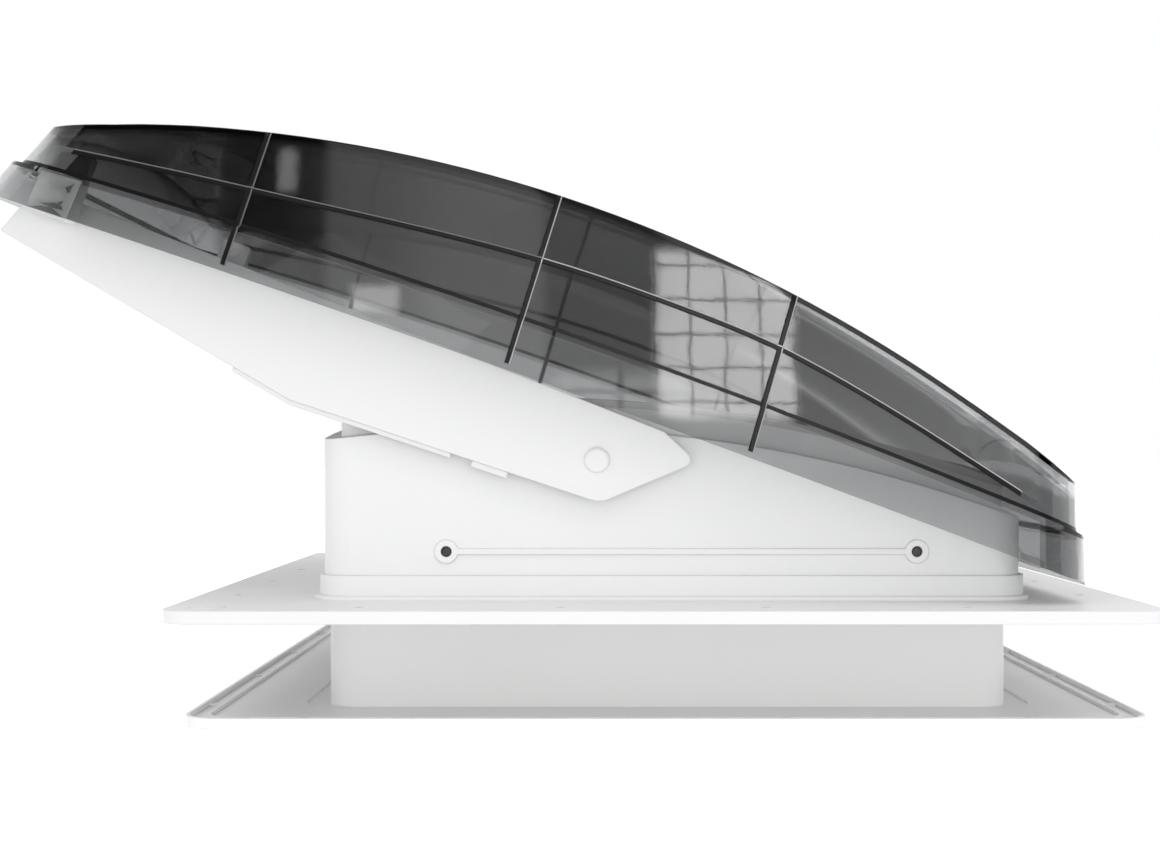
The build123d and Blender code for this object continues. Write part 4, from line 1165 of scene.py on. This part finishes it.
@dataclass
class RoomSide(SubAssembly):
    """The ceiling frame, the insect screen and the control panel."""

    finishes = {
        "inner_plastic": ("ceiling_frame", "screen_frame", *("screen_latch_%d" % n for n in range(1, 5))),
        "screen_mesh": ("screen_mesh",),
        "dark_plastic": ("control_panel",),
        "button_grey": tuple("panel_button_%d" % n for n in range(1, 6)),
        "board_green": ("control_board",),
        "lens_red": ("receiver_lens",),
    }


@dataclass(frozen=True)
class Softbox:
    """A soft lamp: where it hangs, where it looks, its size in metres and its power in watts."""

    place: Vec3
    target: Vec3
    width: float
    height: float
    power: float


@dataclass(frozen=True)
class Window:
    """A lit card that only reflections show, soft at its edges and parted by thin bars where it has panes."""

    place: Vec3
    width: float
    height: float
    glow: float
    pane: float = 0.0
    soft: float = 0.02
    bar_share: float = 0.035


@dataclass
class Studio:
    """Floor, background, soft light and the photo's camera."""

    floor_level: float = -0.051
    floor_side: float = 30.0
    floor_tones: Tuple[float, float] = (0.86, 0.88)
    floor_mottle: float = 3.0
    floor_roughness: float = 0.9
    floor_glow: float = 0.5
    ambient: float = 0.95
    eye: Vec3 = (-0.031, -1.080, 0.083)
    focal: float = 54.78
    sensor: float = 36.0
    nearest: float = 0.01
    shift: Tuple[float, float] = (-20 / 1160, 22.5 / 1160)
    softboxes: Tuple[Softbox, ...] = (
        Softbox((0.0, -2.6, 0.35), (0, 0, -0.02), 3.0, 0.8, 2.0),
        Softbox((0.3, -1.2, 2.4), (0, 0, 0.05), 1.8, 1.8, 8.0),
        Softbox((0.2, -1.9, 0.1), (0.1, -0.2, -0.03), 2.4, 0.2, 6.5),
    )
    wall_place: Vec3 = (0.0, -3.2, 1.4)
    wall_size: Tuple[float, float] = (7.0, 2.8)
    wall_glow: float = 0.06
    windows: Tuple[Window, ...] = (
        Window((0.6, -3.1, 1.1), 2.1, 1.3, 0.5, soft=0.4),
        Window((-0.115, -3.09, 1.25), 0.52, 0.9, 1.0, soft=0.03),
        Window((0.84, -3.09, 1.25), 0.9, 0.9, 0.9, soft=0.05),
        Window((0.53, -3.08, 1.13), 0.34, 0.42, 9.0, pane=0.08, soft=0.03),
        Window((0.29, -3.07, 0.985), 0.34, 0.13, 2.4, pane=0.2, soft=0.04),
        Window((-0.25, -3.06, 1.19), 0.124, 0.08, 5.5),
        Window((-0.447, -3.06, 1.49), 0.056, 0.12, 3.5),
        Window((-0.6, -3.06, 1.47), 0.03, 0.13, 0.8),
        Window((-0.56, -3.06, 1.3), 0.05, 0.06, 1.8),
    )

    def floor(self) -> bpy.types.Object:
        """Lays the pale floor, which meets the white background. From below and for diffuse rays it is clear.

        Returns:
            The floor.
        """
        clear_selection()
        bpy.ops.mesh.primitive_grid_add(x_subdivisions=4, y_subdivisions=4, size=self.floor_side,
                                        location=(0, 0, self.floor_level))
        floor = bpy.context.object
        floor.name = "studio_floor"
        paint = Paint("studio_floor")
        noise = paint.add("TexNoise", {"Scale": self.floor_mottle})
        dull, pale = ((tone, tone, tone) for tone in self.floor_tones)
        paint.shade({"Base Color": paint.mix(noise.outputs["Fac"], dull, pale),
                     "Roughness": self.floor_roughness})
        seen = paint.add("LightPath")
        glow = paint.add("Emission", {"Color": (self.floor_glow, self.floor_glow, self.floor_glow),
                                      "Strength": self.sight(paint, seen)})
        lit = paint.add("AddShader", {0: paint.shader.outputs["BSDF"], 1: glow.outputs["Emission"]})
        below = paint.add("NewGeometry").outputs["Backfacing"]
        passing = paint.calculate("MAXIMUM", below, seen.outputs["Is Diffuse Ray"])
        last = paint.add("MixShader", {"Fac": passing, 1: lit.outputs["Shader"],
                                       2: paint.add("BsdfTransparent").outputs["BSDF"]})
        floor.data.materials.append(paint.surface(last.outputs["Shader"]))
        return floor

    @staticmethod
    def sight(tree: Tree, seen: bpy.types.Node) -> Socket:
        """Joins the camera, glossy and transmission rays.

        Args:
            tree: the nodes.
            seen: a Light Path node.

        Returns:
            The socket that is 1 for such a ray.
        """
        eye = tree.calculate("MAXIMUM", seen.outputs["Is Camera Ray"], seen.outputs["Is Glossy Ray"])
        return tree.calculate("MAXIMUM", eye, seen.outputs["Is Transmission Ray"])

    def world(self) -> None:
        """Makes the world white to the eye and softer as a light."""
        world = bpy.data.worlds.new("studio_world")
        bpy.context.scene.world = world
        world.use_nodes = True
        tree = Tree(world.node_tree)
        background = tree.nodes["Background"]
        seen = self.sight(tree, tree.add("LightPath"))
        tree.feed(background.inputs["Strength"], tree.span(seen, end=(self.ambient, 1.0)))
        tree.feed(background.inputs["Color"], WHITE)

    def lamps(self) -> None:
        """Hangs the soft lights, which reflections don't show."""
        for number, box in enumerate(self.softboxes, 1):
            lamp = bpy.data.lights.new("softbox_%d" % number, "AREA")
            lamp.shape = "RECTANGLE"
            lamp.size, lamp.size_y = box.width, box.height
            lamp.energy = box.power
            holder = bpy.data.objects.new("softbox_%d" % number, lamp)
            holder.location = box.place
            aim = Vector(box.target) - Vector(box.place)
            holder.rotation_euler = aim.to_track_quat("-Z", "Y").to_euler()
            holder.visible_glossy = False
            bpy.context.scene.collection.objects.link(holder)

    @staticmethod
    def panel(name: str, place: Vec3, width: float, height: float) -> bpy.types.Object:
        """Stands an upright panel behind the camera, which only reflections show.

        Args:
            name: the panel's name.
            place: its middle.
            width: its width.
            height: its height.

        Returns:
            The panel.
        """
        clear_selection()
        bpy.ops.mesh.primitive_grid_add(x_subdivisions=2, y_subdivisions=2, size=1, location=place,
                                        rotation=(math.radians(-90), 0, 0))
        panel = bpy.context.object
        panel.name = name
        panel.scale = (width, height, 1)
        bpy.ops.object.transform_apply(location=False, rotation=False, scale=True)
        panel.visible_camera = panel.visible_diffuse = False
        panel.visible_shadow = panel.visible_transmission = False
        return panel

    def card(self, name: str, window: Window) -> bpy.types.Object:
        """Stands a lit card, which hides nothing behind it.

        Args:
            name: the card's name.
            window: its place, size and light.

        Returns:
            The card.
        """
        card = self.panel(name, window.place, window.width, window.height)
        paint = Paint(name)
        split = paint.add("SeparateXYZ", {"Vector": paint.place()})
        light: Source = window.glow
        for axis, half in (("X", window.width / 2), ("Y", window.height / 2)):
            size = paint.calculate("ABSOLUTE", split.outputs[axis])
            light = paint.calculate("MULTIPLY", paint.span(size, (half, half - window.soft)), light)
            if window.pane:
                wave = paint.calculate("PINGPONG", split.outputs[axis], window.pane / 2)
                bar = paint.calculate("GREATER_THAN", wave, window.pane * window.bar_share)
                light = paint.calculate("MULTIPLY", bar, light)
        glow = paint.add("Emission", {"Color": WHITE, "Strength": light})
        both = paint.add("AddShader", {0: glow.outputs["Emission"],
                                       1: paint.add("BsdfTransparent").outputs["BSDF"]})
        card.data.materials.append(paint.surface(both.outputs["Shader"]))
        return card

    def wall(self) -> bpy.types.Object:
        """Stands the dark wall behind the cards, so that the lid's near side doesn't mirror the white world.

        Returns:
            The wall.
        """
        wall = self.panel("studio_wall", self.wall_place, *self.wall_size)
        paint = Paint("studio_wall")
        glow = paint.add("Emission", {"Color": WHITE, "Strength": self.wall_glow})
        wall.data.materials.append(paint.surface(glow.outputs["Emission"]))
        return wall

    def camera(self) -> None:
        """Sets the photo's camera."""
        lens = bpy.data.cameras.new("photo_camera")
        lens.lens = self.focal
        lens.sensor_width = self.sensor
        lens.sensor_fit = "HORIZONTAL"
        lens.shift_x, lens.shift_y = self.shift
        lens.clip_start = self.nearest
        holder = bpy.data.objects.new("photo_camera", lens)
        holder.location = self.eye
        holder.rotation_euler = Euler((math.radians(90), 0, 0))
        bpy.context.scene.collection.objects.link(holder)
        bpy.context.scene.camera = holder

    def build(self) -> List[bpy.types.Object]:
        """Sets up the studio.

        Returns:
            The floor, the dark wall and the windows that the lid reflects.
        """
        bpy.context.scene.view_settings.view_transform = "Standard"
        self.camera()
        self.world()
        self.lamps()
        pieces = [self.floor(), self.wall()]
        for number, window in enumerate(self.windows, 1):
            pieces.append(self.card("studio_window_%d" % number, window))
        return pieces


def main() -> None:
    """Builds every sub-assembly in order and reports each piece."""
    for part in (Studio(), RaisedLid(), RainWings(), Housing(), RoofFlange(), Garnish(), FanUnit(),
                 LiftDrive(), RoomSide()):
        for piece in part.build():
            LOG.info("%s: %s, %d faces", type(part).__name__, piece.name, len(piece.data.polygons))


if __name__ == "__main__":
    main()
